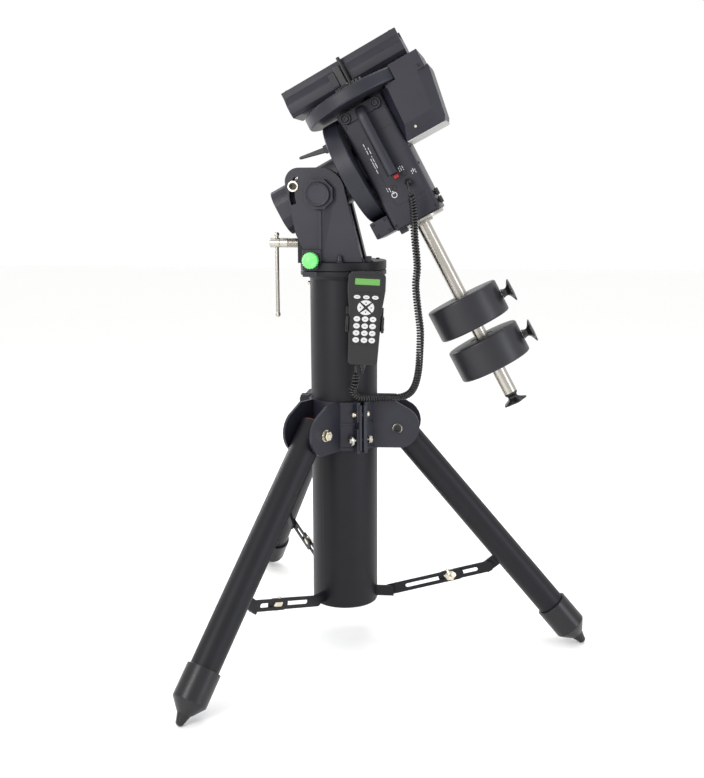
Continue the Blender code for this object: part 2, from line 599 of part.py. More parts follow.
def make_declination_axis(axis):
    disc = turned([(0, DISC_W[0]), (DISC_R - 0.0025, DISC_W[0]), (DISC_R, DISC_W[0] + 0.0025),
                   (DISC_R, DISC_W[1] - 0.0025), (DISC_R - 0.0025, DISC_W[1]), (HUB_R, DISC_W[1]),
                   (HUB_R, SADDLE_W[0] - GAP), (0, SADDLE_W[0] - GAP)], 64)
    finish("declination_disc", disc, "cast_black", axis)
    finish("declination_shaft", rod(SHAFT_R, (-0.115, DISC_W[0] - GAP)), "bright_steel", axis)
    low, high = SADDLE_W
    y = SADDLE_Y
    rail = y - 0.010
    floor = high - 0.020
    # Half the section: under side, rail, dovetail lip, relief groove and floor
    half = [(y - 0.006, low), (y, low + 0.010), (y, low + 0.028), (rail, low + 0.046), (rail, high),
            (CHANNEL_LIP_Y, high), (CHANNEL_LIP_Y + 0.004, floor), (CHANNEL_LIP_Y + 0.004, floor - 0.002),
            (CHANNEL_FLOOR_Y, floor - 0.002), (CHANNEL_FLOOR_Y, floor)]
    section = half + [(-a, b) for a, b in reversed(half)]
    saddle = finish("saddle_plate", prism(section, (-SADDLE_L, SADDLE_L), "X"), "cast_black", axis)
    notch = block((-0.016, 0.016), (-0.08, -y + 0.008), (low + 0.004, high + 0.01))
    cut(saddle, notch, parent=axis)
    bar = block((-0.0155, 0.0), (-y - 0.001, -y + 0.0075), (low + 0.006, high - 0.010))
    clamp = finish("saddle_clamp", bar, "cast_black", axis)
    soften(clamp, 0.0015)
    lever = finish("saddle_lever", rod(0.0042, (-0.058, 0.006), 12), "black_plastic", axis,
                   location=(0.0055, -y - 0.001, high - 0.002))
    soften(lever, 0.0012, 2, 60)


# ---------------------------------------------------------------- hand controller and cord


def hand_outline():
    """Front view of the hand controller about its centre, as (across, up)."""
    return (arc((0, -0.220), 0.3225, math.radians(84.0), math.radians(96.0), 6)
            + arc((-0.0335, 0.090), 0.007, math.radians(110), math.radians(180), 3)
            + [(-0.0411, 0.062), (-0.0350, 0.010)]
            + arc((-0.0250, -0.0950), 0.007, math.radians(180), math.radians(270), 3)
            + arc((0.0250, -0.0950), 0.007, math.radians(270), math.radians(360), 3)
            + [(0.0350, 0.010), (0.0411, 0.062)]
            + arc((0.0335, 0.090), 0.007, math.radians(0), math.radians(70), 3))


def make_hand_controller():
    """The controller faces -y in its own frame, whose origin is at its back face's centre."""
    across = Vector((-math.sin(HAND_AZIMUTH), math.cos(HAND_AZIMUTH), 0))
    outward = Vector((math.cos(HAND_AZIMUTH), math.sin(HAND_AZIMUTH), 0))
    place = across * HAND_OFFSET + outward * HAND_BACK + Vector((0, 0, HAND_Z))
    turn = HAND_AZIMUTH + math.pi / 2
    axis = frame("hand_axis", place, (0, HAND_TILT, turn))
    body = finish("hand_controller", prism(hand_outline(), (-HAND_T, 0), "Y"), "black_plastic", axis)
    recess = block((-0.0305, 0.0305), (-0.05, -HAND_T + 0.0045), (-0.0565, 0.0540))
    cut(body, recess, parent=axis)
    plate = block((-0.0300, 0.0300), (-HAND_T - 0.0002, -HAND_T + 0.0030), (-0.0560, 0.0535))
    mat = finish("controller_keypad", plate, "key_white", axis)
    for place, half_sizes in key_places():
        key = prism(oval(place, half_sizes), (-HAND_T - 0.0022, -HAND_T + 0.001), "Y")
        add(mat, key, parent=axis)
    back_plate = block((-0.0415, 0.0415), (GAP, 0.006), (-0.030, 0.022))
    holder = finish("controller_holder", back_plate, "black_plastic", axis)
    for side in (-1, 1):
        arm = block(sorted((side * 0.0362, side * 0.0415)), (-HAND_T - 0.003, 0.004), (-0.030, 0.004))
        add(holder, arm, parent=axis)
    add(holder, block((-0.030, 0.006), (0.004, 0.0400), (-0.016, 0.016)), parent=axis)
    cut(holder, rod(PIER_R + GAP, (0.6, 0.95), 48))


def key_places():
    """Centre and half sizes of each key on the mat, both as (across, up)."""
    keys = [((across, 0.0465), (0.0072, 0.0042)) for across in (-0.0200, 0.0, 0.0195)]
    keys += [((0, up), (0.0095, 0.0042)) for up in (0.0335, 0.0145)]
    keys += [((across, 0.0240), (0.0045, 0.0068)) for across in (-0.0130, 0.0130)]
    for row in range(4):
        up = -0.0010 - 0.0154 * row
        keys += [((across, up), (0.0072, 0.0060)) for across in (-0.0180, 0.0, 0.0170)]
    return keys


def oval(centre, half_sizes):
    (x, y), (a, b) = centre, half_sizes
    turns = [2 * math.pi * i / 16 for i in range(16)]
    return [(x + a * math.cos(turn), y + b * math.sin(turn)) for turn in turns]


CORD_ROUTE = [
    (0.1552, -0.0885, 1.0693), (0.1560, -0.1010, 1.0670), (0.1630, -0.1085, 1.0480),
    (0.1695, -0.1030, 1.0200), (0.1720, -0.0970, 0.9600), (0.1780, -0.0950, 0.8920),
    (0.1750, -0.0940, 0.8500), (0.1800, -0.0920, 0.7950), (0.1850, -0.0900, 0.7500),
    (0.1835, -0.0860, 0.7000), (0.1800, -0.0780, 0.6600), (0.1710, -0.0660, 0.6250),
    (0.1560, -0.0520, 0.6035), (0.1340, -0.0440, 0.5940), (0.1100, -0.0460, 0.5935),
    (0.0860, -0.0640, 0.5950), (0.0640, -0.0820, 0.5970), (0.0450, -0.0960, 0.6020),
    (0.0370, -0.1060, 0.6170), (0.0440, -0.1110, 0.6350), (0.0445, -0.1060, 0.6550),
    (0.0439, -0.1057, 0.6745),
]


def smooth_route(points, per_span):
    """Points along a Catmull-Rom curve through the route."""
    route = [Vector(p) for p in points]
    padded = [2 * route[0] - route[1]] + route + [2 * route[-1] - route[-2]]
    path = []
    for i in range(1, len(padded) - 2):
        a, b, c, d = padded[i - 1:i + 3]
        for step in range(per_span):
            t = step / per_span
            path.append(0.5 * (2 * b + (c - a) * t + (2 * a - 5 * b + 4 * c - d) * t * t
                               + (3 * b - a - 3 * c + d) * t ** 3))
    return path + [route[-1]]


def make_cord(head_axis):
    plug = turned([(0, DEC_BOX_Y + GAP), (0.0075, DEC_BOX_Y + GAP), (0.0075, 0.080), (0.0050, 0.084),
                   (0.0050, 0.0870), (0, 0.0870)], 16, "Y")
    finish("cord_plug", plug, "black_plastic", head_axis, location=(0.0200, 0, -0.0800),
           rotation=(0, 0, math.pi))
    curve = bpy.data.curves.new("curly_cord", "CURVE")
    curve.dimensions = "3D"
    curve.bevel_depth = CORD_R
    curve.bevel_resolution = 2
    curve.use_fill_caps = True
    path = smooth_route(CORD_ROUTE, 2)
    spline = curve.splines.new("POLY")
    spline.points.add(len(path) - 1)
    for point, place in zip(spline.points, path):
        point.co = (*place, 1)
    curve.materials.append(material_for("curly_cord", "rubber"))
    cord = bpy.data.objects.new("curly_cord", curve)
    bpy.context.scene.collection.objects.link(cord)


def main():
    clear_scene()
    make_pier()
    make_collar()
    for name, azimuth in LEG_AZIMUTHS.items():
        make_leg(name, azimuth)
    azimuth_axis = frame("azimuth_axis", (0, 0, 0))
    make_fork(azimuth_axis)
    make_altitude_screw(azimuth_axis)
    tilt = (0, -POLAR_ALTITUDE, 0)
    altitude_axis = frame("altitude_axis", ALT_PIVOT, parent=azimuth_axis)
    head = Vector(AXES_CROSS) - Vector(ALT_PIVOT)
    static_axis = frame("polar_housing_frame", head, tilt, altitude_axis)
    make_polar_housing(static_axis)
    polar_axis = frame("polar_axis", head, tilt, altitude_axis)
    make_declination_housing(polar_axis)
    make_counterweights(polar_axis)
    declination_axis = frame("declination_axis", (0, 0, 0), parent=polar_axis)
    make_declination_axis(declination_axis)
    make_hand_controller()
    make_cord(polar_axis)
    for obj in bpy.data.objects:
        if obj.parent is None:
            obj.location += Vector(PIER_AT)


main()
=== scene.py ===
"""Finished look of a motorised equatorial mount on a pier tripod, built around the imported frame.

Shapes are drawn in millimetres in a local frame and placed in the row frame, in metres. The pier frame
has its origin on the floor under the pier's axis. The head frame has x along the polar axis and z along
the declination axis, and its origin where the two cross.
"""

import sys
import json
import math

import bmesh
import bpy
from bpy.props import FloatProperty, FloatVectorProperty, IntProperty, PointerProperty
from mathutils import Matrix, Vector
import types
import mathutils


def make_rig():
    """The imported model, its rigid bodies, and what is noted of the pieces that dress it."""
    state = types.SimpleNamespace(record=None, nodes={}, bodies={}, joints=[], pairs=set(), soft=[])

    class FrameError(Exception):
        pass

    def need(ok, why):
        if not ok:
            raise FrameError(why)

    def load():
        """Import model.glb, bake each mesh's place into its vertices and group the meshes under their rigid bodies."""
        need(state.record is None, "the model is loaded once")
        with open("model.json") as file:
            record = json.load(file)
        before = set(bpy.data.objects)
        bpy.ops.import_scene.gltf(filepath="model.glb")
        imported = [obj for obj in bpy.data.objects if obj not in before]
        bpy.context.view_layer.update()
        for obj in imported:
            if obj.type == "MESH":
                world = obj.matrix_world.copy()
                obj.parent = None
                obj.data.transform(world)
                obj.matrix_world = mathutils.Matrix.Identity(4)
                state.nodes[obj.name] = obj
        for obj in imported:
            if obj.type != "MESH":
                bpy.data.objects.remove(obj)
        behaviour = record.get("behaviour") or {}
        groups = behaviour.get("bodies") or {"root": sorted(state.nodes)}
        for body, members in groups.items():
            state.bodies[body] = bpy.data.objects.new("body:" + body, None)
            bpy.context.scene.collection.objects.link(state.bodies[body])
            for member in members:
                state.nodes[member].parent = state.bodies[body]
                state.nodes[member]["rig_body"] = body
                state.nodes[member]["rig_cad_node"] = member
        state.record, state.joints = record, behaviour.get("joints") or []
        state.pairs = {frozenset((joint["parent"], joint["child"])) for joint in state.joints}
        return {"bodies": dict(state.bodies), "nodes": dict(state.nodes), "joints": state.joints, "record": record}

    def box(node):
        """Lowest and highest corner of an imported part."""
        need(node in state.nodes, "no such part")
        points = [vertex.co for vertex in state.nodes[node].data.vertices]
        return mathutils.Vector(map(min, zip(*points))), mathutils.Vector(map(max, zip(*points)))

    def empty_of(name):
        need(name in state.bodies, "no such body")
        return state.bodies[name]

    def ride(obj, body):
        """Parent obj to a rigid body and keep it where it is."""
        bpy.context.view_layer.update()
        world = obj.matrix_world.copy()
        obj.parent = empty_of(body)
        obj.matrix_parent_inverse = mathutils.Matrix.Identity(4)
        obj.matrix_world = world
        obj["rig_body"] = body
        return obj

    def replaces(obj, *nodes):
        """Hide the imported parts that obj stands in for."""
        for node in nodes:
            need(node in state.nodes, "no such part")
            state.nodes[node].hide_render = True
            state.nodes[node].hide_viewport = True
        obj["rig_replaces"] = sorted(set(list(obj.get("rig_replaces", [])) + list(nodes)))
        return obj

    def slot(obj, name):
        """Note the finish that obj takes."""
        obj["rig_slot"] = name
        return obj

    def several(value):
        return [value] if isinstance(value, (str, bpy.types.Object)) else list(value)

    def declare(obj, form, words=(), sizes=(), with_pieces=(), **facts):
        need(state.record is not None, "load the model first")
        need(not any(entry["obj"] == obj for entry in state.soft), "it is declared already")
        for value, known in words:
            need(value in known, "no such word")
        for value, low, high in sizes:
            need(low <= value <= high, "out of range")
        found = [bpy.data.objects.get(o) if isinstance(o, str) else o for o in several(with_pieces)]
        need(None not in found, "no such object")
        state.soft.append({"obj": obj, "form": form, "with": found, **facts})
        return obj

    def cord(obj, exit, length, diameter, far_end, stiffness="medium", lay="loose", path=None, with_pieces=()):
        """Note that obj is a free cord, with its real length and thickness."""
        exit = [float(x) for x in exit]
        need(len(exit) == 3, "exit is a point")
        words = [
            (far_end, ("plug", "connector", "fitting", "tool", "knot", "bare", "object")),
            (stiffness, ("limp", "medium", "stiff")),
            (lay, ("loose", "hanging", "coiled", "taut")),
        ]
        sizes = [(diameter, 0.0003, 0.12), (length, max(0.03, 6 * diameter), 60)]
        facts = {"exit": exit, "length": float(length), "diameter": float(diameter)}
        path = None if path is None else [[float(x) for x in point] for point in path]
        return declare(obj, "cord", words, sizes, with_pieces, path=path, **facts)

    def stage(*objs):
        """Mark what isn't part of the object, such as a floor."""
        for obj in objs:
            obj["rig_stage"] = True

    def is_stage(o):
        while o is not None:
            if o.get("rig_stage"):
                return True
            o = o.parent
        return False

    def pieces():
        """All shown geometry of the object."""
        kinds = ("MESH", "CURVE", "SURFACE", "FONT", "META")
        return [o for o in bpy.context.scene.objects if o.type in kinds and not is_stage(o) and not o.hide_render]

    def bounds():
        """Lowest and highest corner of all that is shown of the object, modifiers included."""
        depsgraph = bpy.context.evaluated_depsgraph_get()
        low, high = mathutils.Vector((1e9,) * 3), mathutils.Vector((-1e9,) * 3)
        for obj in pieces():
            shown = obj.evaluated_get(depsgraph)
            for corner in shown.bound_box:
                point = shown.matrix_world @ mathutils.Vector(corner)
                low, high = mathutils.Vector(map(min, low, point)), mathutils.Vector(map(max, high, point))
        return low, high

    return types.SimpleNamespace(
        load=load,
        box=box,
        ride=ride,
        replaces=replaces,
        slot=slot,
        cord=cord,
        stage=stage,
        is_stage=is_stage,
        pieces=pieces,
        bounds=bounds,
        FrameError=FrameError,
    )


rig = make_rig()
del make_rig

bl_info = {
    "name": "Equatorial Mount Looks",
    "version": (1, 0, 0),
    "blender": (4, 5, 0),
    "location": "3D View > Sidebar > Mount",
    "description": "Pieces, finishes and stage of a telescope mount on a pier tripod",
    "category": "Object",
}

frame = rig.load()
CAD_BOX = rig.bounds()
SIZE_FILE = "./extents.json"
MM = 0.001
SHARP = 22.0

# Frames, in metres
CAP_LOW, CAP_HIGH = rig.box("pier_bottom_cap")
PIER = Vector(((CAP_LOW.x + CAP_HIGH.x) / 2, (CAP_LOW.y + CAP_HIGH.y) / 2, 0.0))
PIER_FRAME = Matrix.Translation(PIER)
LEG_AZIMUTHS = {"right": 3.6, "front": -116.4, "back": 123.6}
AXES_CROSS = Vector((0.100, 0.0, 1.1305))
POLAR_ALTITUDE = math.radians(28.0)
HEAD_FRAME = Matrix.Translation(PIER + AXES_CROSS) @ Matrix.Rotation(-POLAR_ALTITUDE, 4, "Y")
HAND_AZIMUTH = math.radians(-78.0)
HAND_ACROSS, HAND_OUT, HAND_UP = 0.042, 0.099, 0.779
HAND_TILT = math.radians(3.3)
CLUTCH_AT = Vector((-0.1055, 0, 0.068))

# Sizes shared by several pieces, in millimetres
PIER_R = 76.2
LEG_R = 31.75
LEG_SPREAD = math.radians(40.36)
LEG_PIVOT = (126.0, 519.0)
BRACE_PIER = (105.0, 117.0)
BRACE_LEG = (338.0, 181.0)
BRACE_KNOB_SHARE = 0.62
COLLAR_R = 81.5
EAR_OUTER_Y = 40.5
BASE_TOP = 898.0
AZIMUTH_KNOB = (-56.0, 902.5)
AZIMUTH_KNOB_Y = (91.0, 108.0)
ALT_PIVOT = (-39.0, 1045.0)
LOCK_AT = (60.5, math.radians(163.7))
SHAFT_R = 15.5
SHAFT_END = -598.0
WEIGHT_R = 83.0
WEIGHT_W = {"upper": -390.5, "lower": -492.0}
DISC_W = (123.0, 152.0)
SADDLE_LOW = 162.0
SADDLE_HALF_Y = 54.0
HAND_FRONT = -27.0

CORD_ROUTE = [
    (0.1552, -0.0885, 1.0693), (0.1560, -0.1010, 1.0670), (0.1630, -0.1085, 1.0480),
    (0.1695, -0.1030, 1.0200), (0.1720, -0.0970, 0.9600), (0.1780, -0.0950, 0.8920),
    (0.1750, -0.0940, 0.8500), (0.1800, -0.0920, 0.7950), (0.1850, -0.0900, 0.7500),
    (0.1835, -0.0860, 0.7000), (0.1800, -0.0780, 0.6600), (0.1710, -0.0660, 0.6250),
    (0.1560, -0.0520, 0.6035), (0.1340, -0.0440, 0.5940), (0.1100, -0.0460, 0.5935),
    (0.0860, -0.0640, 0.5950), (0.0640, -0.0820, 0.5970), (0.0450, -0.0960, 0.6020),
    (0.0370, -0.1060, 0.6170), (0.0440, -0.1110, 0.6350), (0.0445, -0.1060, 0.6550),
    (0.0439, -0.1057, 0.6745),
]
CORD_LEADS = (0.030, 0.010)
CORD_OPENS_OVER = 0.018


# ---------------------------------------------------------------- settings


def linear(hex_text):
    """A colour written as sRGB hex, as linear red, green and blue."""
    channels = [int(hex_text[i:i + 2], 16) / 255 for i in (1, 3, 5)]
    return tuple(c / 12.92 if c <= 0.04045 else ((c + 0.055) / 1.055) ** 2.4 for c in channels)


def colour_property(name, description, hex_text):
    return FloatVectorProperty(name=name, description=description, subtype="COLOR", size=3, min=0, max=1,
                               default=linear(hex_text))


class MountSizes(bpy.types.PropertyGroup):
    """Sizes that a user would change."""

    edge: FloatProperty(name="Edge radius", description="Round on cast and machined edges, in millimetres",
                        default=0.9, min=0.1, max=3.0)
    wire: FloatProperty(name="Cord wire", description="Thickness of the curly cord's wire",
                        default=0.0048, min=0.0015, max=0.006, unit="LENGTH")
    coil: FloatProperty(name="Cord coil", description="Outer width of the cord's coil",
                        default=0.0174, min=0.010, max=0.020, unit="LENGTH")
    pitch: FloatProperty(name="Cord pitch", description="Advance of the cord's coil in one turn",
                         default=0.0062, min=0.0050, max=0.014, unit="LENGTH")
    round_steps: IntProperty(name="Round steps", description="Sides of large round pieces",
                             default=96, min=24, max=192)


class MountFinishes(bpy.types.PropertyGroup):
    """Colours of the finishes."""

    coat: colour_property("Powder coat", "Pier, legs and braces", "#131318")
    casting: colour_property("Cast housings", "Head, fork and saddle", "#1F1F29")
    iron: colour_property("Weight paint", "Counterweights", "#1D1D22")
    plastic: colour_property("Black plastic", "Knobs and hand controller", "#131315")
    steel: colour_property("Steel", "Shafts, bolts and bars", "#B1ADA5")
    green: colour_property("Green knob", "Azimuth knob on the near side", "#6FE073")
    keys: colour_property("Keys", "Keys of the hand controller", "#BFBFC0")
    screen: colour_property("Screen", "Display of the hand controller", "#5C9A45")


# ---------------------------------------------------------------- finishes


def node(tree, kind, inputs=None, **settings):
    """Adds a node. inputs gives each input's value, or the socket that feeds it."""
    made = tree.nodes.new(kind)
    for name, value in settings.items():
        setattr(made, name, value)
    for name, value in (inputs or {}).items():
        if isinstance(value, bpy.types.NodeSocket):
            tree.links.new(value, made.inputs[name])
        else:
            made.inputs[name].default_value = value
    return made


def bare_material(name, colour, roughness, metallic=0.0, **sockets):
    material = bpy.data.materials.new(name)
    material.use_nodes = True
    shader = material.node_tree.nodes["Principled BSDF"]
    shader.inputs["Base Color"].default_value = (*colour, 1.0)
    shader.inputs["Roughness"].default_value = roughness
    shader.inputs["Metallic"].default_value = metallic
    for socket, value in sockets.items():
        shader.inputs[socket.replace("_", " ")].default_value = value
    return material, material.node_tree, shader


def shaded(colour, factor):
    return (*[min(1.0, c * factor) for c in colour], 1.0)


def grained(tree, shader, colour, grain_mm, depth_mm, spread, roughness):
    """Grit on the surface, a slow change of tone over it and duller patches where hands have rubbed."""
    place = node(tree, "ShaderNodeTexCoord").outputs["Object"]
    grit = node(tree, "ShaderNodeTexNoise", {"Vector": place, "Scale": 1 / (grain_mm * MM), "Detail": 3.0})
    cloud = node(tree, "ShaderNodeTexNoise", {"Vector": place, "Scale": 1 / (45 * MM), "Detail": 2.0})
    tone = node(tree, "ShaderNodeMapRange", {"Value": cloud.outputs["Fac"], "From Min": 0.3, "From Max": 0.7})
    mixed = node(tree, "ShaderNodeMix", {0: tone.outputs["Result"]}, data_type="RGBA")
    mixed.inputs[6].default_value = shaded(colour, 1 - spread)
    mixed.inputs[7].default_value = shaded(colour, 1 + spread)
    tree.links.new(mixed.outputs[2], shader.inputs["Base Color"])
    dull = node(tree, "ShaderNodeMapRange", {"Value": grit.outputs["Fac"], "From Min": 0.35, "From Max": 0.65,
                                             "To Min": roughness - 0.07, "To Max": roughness + 0.07})
    tree.links.new(dull.outputs["Result"], shader.inputs["Roughness"])
    bump = node(tree, "ShaderNodeBump", {"Height": grit.outputs["Fac"], "Strength": 0.35,
                                         "Distance": depth_mm * MM})
    tree.links.new(bump.outputs["Normal"], shader.inputs["Normal"])


def powder_coated_steel(looks):
    """Baked polyester powder: an even satin black with a fine orange peel, 0.4 mm drawn at 0.9 mm."""
    material, tree, shader = bare_material("powder_coated_steel", looks.coat, 0.46, Specular_IOR_Level=0.24)
    grained(tree, shader, looks.coat, 0.9, 0.05, 0.10, 0.46)
    return material


def textured_cast_aluminium(looks):
    """Sand-cast and machined aluminium under wrinkle paint: blue-black, coarser grit, broad soft shine."""
    material, tree, shader = bare_material("textured_cast_aluminium", looks.casting, 0.44,
                                           Specular_IOR_Level=0.36)
    grained(tree, shader, looks.casting, 1.3, 0.06, 0.12, 0.44)
    return material


def painted_cast_iron(looks):
    """Smooth satin enamel over turned iron: the light runs round the rim in one soft band."""
    material, tree, shader = bare_material("painted_cast_iron", looks.iron, 0.40, Specular_IOR_Level=0.4)
    grained(tree, shader, looks.iron, 2.2, 0.03, 0.08, 0.40)
    return material


def moulded_abs(looks):
    """Injection-moulded ABS with a spark-eroded mould texture: deep black, small tight highlights."""
    material, tree, shader = bare_material("moulded_abs", looks.plastic, 0.36)
    grained(tree, shader, looks.plastic, 0.7, 0.02, 0.08, 0.36)
    return material


def nitrile_rubber(looks):
    """Dip-moulded rubber of the feet and seals: smooth blue-black, glossier than the coated tube above it."""
    material, tree, shader = bare_material("nitrile_rubber", linear("#101014"), 0.34, Specular_IOR_Level=0.4)
    grained(tree, shader, linear("#101014"), 1.6, 0.02, 0.14, 0.34)
    return material


def cord_pvc(looks):
    """Extruded soft PVC of the curly cord: glossy black, so that each turn catches its own light."""
    material, tree, shader = bare_material("cord_pvc", linear("#0E0E10"), 0.24)
    grained(tree, shader, linear("#0E0E10"), 3.0, 0.01, 0.06, 0.24)
    return material


def turned_stainless_steel(looks):
    """Ground and polished stainless bar: bright metal with fine marks round it, 0.2 mm drawn at 0.6 mm."""
    material, tree, shader = bare_material("turned_stainless_steel", looks.steel, 0.24, 1.0)
    place = node(tree, "ShaderNodeTexCoord").outputs["Object"]
    lathe = node(tree, "ShaderNodeMapping", {"Vector": place, "Rotation": (0.0, POLAR_ALTITUDE, 0.0),
                                             "Scale": (1.0, 1.0, 12.0)})
    marks = node(tree, "ShaderNodeTexNoise", {"Vector": lathe.outputs["Vector"], "Scale": 1 / (7 * MM)})
    dull = node(tree, "ShaderNodeMapRange", {"Value": marks.outputs["Fac"], "To Min": 0.22, "To Max": 0.32})
    tree.links.new(dull.outputs["Result"], shader.inputs["Roughness"])
    bump = node(tree, "ShaderNodeBump", {"Height": marks.outputs["Fac"], "Strength": 0.12,
                                         "Distance": 0.02 * MM})
    tree.links.new(bump.outputs["Normal"], shader.inputs["Normal"])
    return material


def zinc_plated_steel(looks):
    """Bolts and nuts: bright zinc, a little yellow and cloudy."""
    material, tree, shader = bare_material("zinc_plated_steel", linear("#D9D2BF"), 0.22, 1.0)
    grained(tree, shader, linear("#D9D2BF"), 2.0, 0.01, 0.10, 0.22)
    return material


def blackened_steel(looks):
    """Oil-blackened socket screws: black metal with a dry shine. On the polar shaft the same dark is painted shade in
    the gap between the declination housing and the gear drum.
    """
    material, tree, shader = bare_material("blackened_steel", linear("#2A2A2C"), 0.34, 0.6)
    grained(tree, shader, linear("#2A2A2C"), 1.0, 0.01, 0.15, 0.34)
    return material


def bare_copper(looks):
    """Copper showing at the cut end of a leg tube: warm orange metal, dulled."""
    material, tree, shader = bare_material("bare_copper", linear("#B8694A"), 0.38, 1.0)
    grained(tree, shader, linear("#B8694A"), 1.5, 0.01, 0.2, 0.38)
    return material


def machined_aluminium(looks):
    """Light grey metal with a dull sheen, set under the motor's cover as painted bounce light from the white floor."""
    material, tree, shader = bare_material("machined_aluminium", linear("#A9A9A7"), 0.42, 0.85)
    grained(tree, shader, linear("#A9A9A7"), 1.2, 0.01, 0.08, 0.42)
    return material


def green_acetal(looks):
    """Moulded acetal, pale green through and through: soft waxy shine, light sinks in a little."""
    material, tree, shader = bare_material("green_acetal", looks.green, 0.38, Subsurface_Weight=0.15,
                                           Subsurface_Scale=0.004)
    grained(tree, shader, looks.green, 1.2, 0.02, 0.05, 0.38)
    return material


def silicone_keys(looks):
    """Moulded silicone rubber keys: off-white and matt."""
    material, tree, shader = bare_material("silicone_keys", looks.keys, 0.52)
    grained(tree, shader, looks.keys, 0.8, 0.01, 0.03, 0.52)
    return material


def display_glass(looks):
    """Green character display behind clear plastic: rows of dark cells 3 mm wide, glossy front."""
    material, tree, shader = bare_material("display_glass", looks.screen, 0.12, Coat_Weight=0.6,
                                           Coat_Roughness=0.05)
    place = node(tree, "ShaderNodeTexCoord").outputs["Object"]
    cells = node(tree, "ShaderNodeTexChecker", {"Vector": place, "Scale": 1 / (1.6 * MM),
                                                "Color1": (*looks.screen, 1.0),
                                                "Color2": shaded(looks.screen, 0.82)})
    tree.links.new(cells.outputs["Color"], shader.inputs["Base Color"])
    return material


def white_print(looks):
    """Screen-printed ink: matt white, thin enough to show the paint's grain."""
    material, tree, shader = bare_material("white_print", linear("#C9C9CC"), 0.6)
    grained(tree, shader, linear("#C9C9CC"), 0.8, 0.01, 0.08, 0.6)
    return material


def red_polycarbonate(looks):
    """Clear-red moulded rocker of the power switch."""
    material, tree, shader = bare_material("red_polycarbonate", linear("#B0242C"), 0.2)
    grained(tree, shader, linear("#B0242C"), 1.0, 0.01, 0.08, 0.2)
    return material


def finish(name):
    """The material of that name, made when it is first asked for."""
    return bpy.data.materials.get(name) or globals()[name](bpy.context.scene.mount_finishes)


# ---------------------------------------------------------------- shapes, in millimetres


def arc(centre, radius, start, end, steps):
    """Points of an arc, angles in degrees."""
    angles = [math.radians(start + (end - start) * i / steps) for i in range(steps + 1)]
    return [(centre[0] + radius * math.cos(a), centre[1] + radius * math.sin(a)) for a in angles]


def rounded(half_a, half_b, radius, steps=5, centre=(0, 0)):
    """A rectangle with round corners."""
    a, b = half_a - radius, half_b - radius
    points = []
    for quarter, (x, y) in enumerate(((a, b), (-a, b), (-a, -b), (a, -b))):
        points += arc((centre[0] + x, centre[1] + y), radius, 90 * quarter, 90 * quarter + 90, steps)
    return points


def star(radius, depth, lobes, steps, centre=(0, 0)):
    """A circle that swells and shrinks lobes times."""
    points = []
    for i in range(steps):
        a = 2 * math.pi * i / steps
        r = radius + depth * math.cos(lobes * a)
        points.append((centre[0] + r * math.cos(a), centre[1] + r * math.sin(a)))
    return points


def prism(outline, span, axis="Z"):
    """An outline drawn over a span. Axis Y takes (x, z) points, axis X takes (y, z)."""
    order = {"X": (2, 0, 1), "Y": (0, 2, 1), "Z": (0, 1, 2)}[axis]
    bm = bmesh.new()
    ends = []
    for c in span:
        ends.append([bm.verts.new([(a, b, c)[k] for k in order]) for a, b in outline])
    bm.faces.new(ends[0])
    bm.faces.new(ends[1])
    for i in range(len(outline)):
        j = (i + 1) % len(outline)
        bm.faces.new((ends[0][i], ends[0][j], ends[1][j], ends[1][i]))
    return bm


def rim(outer, inner, span, axis="Z"):
    """A closed band between two outlines with as many points as each other."""
    bm = bmesh.new()
    order = {"X": (2, 0, 1), "Y": (0, 2, 1), "Z": (0, 1, 2)}[axis]
    loops = []
    for outline, c in ((outer, span[0]), (outer, span[1]), (inner, span[1]), (inner, span[0])):
        loops.append([bm.verts.new([(a, b, c)[k] for k in order]) for a, b in outline])
    for here, there in zip(loops, loops[1:] + loops[:1]):
        for i in range(len(outer)):
            j = (i + 1) % len(outer)
            bm.faces.new((here[i], here[j], there[j], there[i]))
    return bm


def box(x, y, z):
    return prism([(x[0], y[0]), (x[1], y[0]), (x[1], y[1]), (x[0], y[1])], z)


def turned(profile, steps=48, axis="Z", at=(0, 0, 0), lobes=0):
    """A solid of revolution from a (radius, height) profile that starts and ends on the axis, or a ring
    from a closed profile clear of it. A third value in a point is the depth of its lobes."""
    bm = bmesh.new()
    rings = []
    for radius, height, *wave in profile:
        count = 1 if radius == 0 else steps
        ring = []
        for i in range(count):
            a = 2 * math.pi * i / count
            r = radius + (wave[0] * math.cos(lobes * a) if wave else 0.0)
            ring.append(bm.verts.new((r * math.cos(a), r * math.sin(a), height)))
        rings.append(ring)
    pairs = list(zip(rings, rings[1:]))
    if profile[0][0] and profile[-1][0]:
        pairs.append((rings[-1], rings[0]))
    for low, high in pairs:
        for i in range(steps):
            j = (i + 1) % steps
            corners = [low[i % len(low)], low[j % len(low)], high[j % len(high)], high[i % len(high)]]
            bm.faces.new(list(dict.fromkeys(corners)))
    quarter = math.pi / 2
    turns = {"X": Matrix.Rotation(quarter, 4, "Y"), "Y": Matrix.Rotation(-quarter, 4, "X"),
             "-Y": Matrix.Rotation(quarter, 4, "X"), "Z": Matrix.Identity(4)}
    bm.transform(Matrix.Translation(at) @ turns[axis])
    return bm


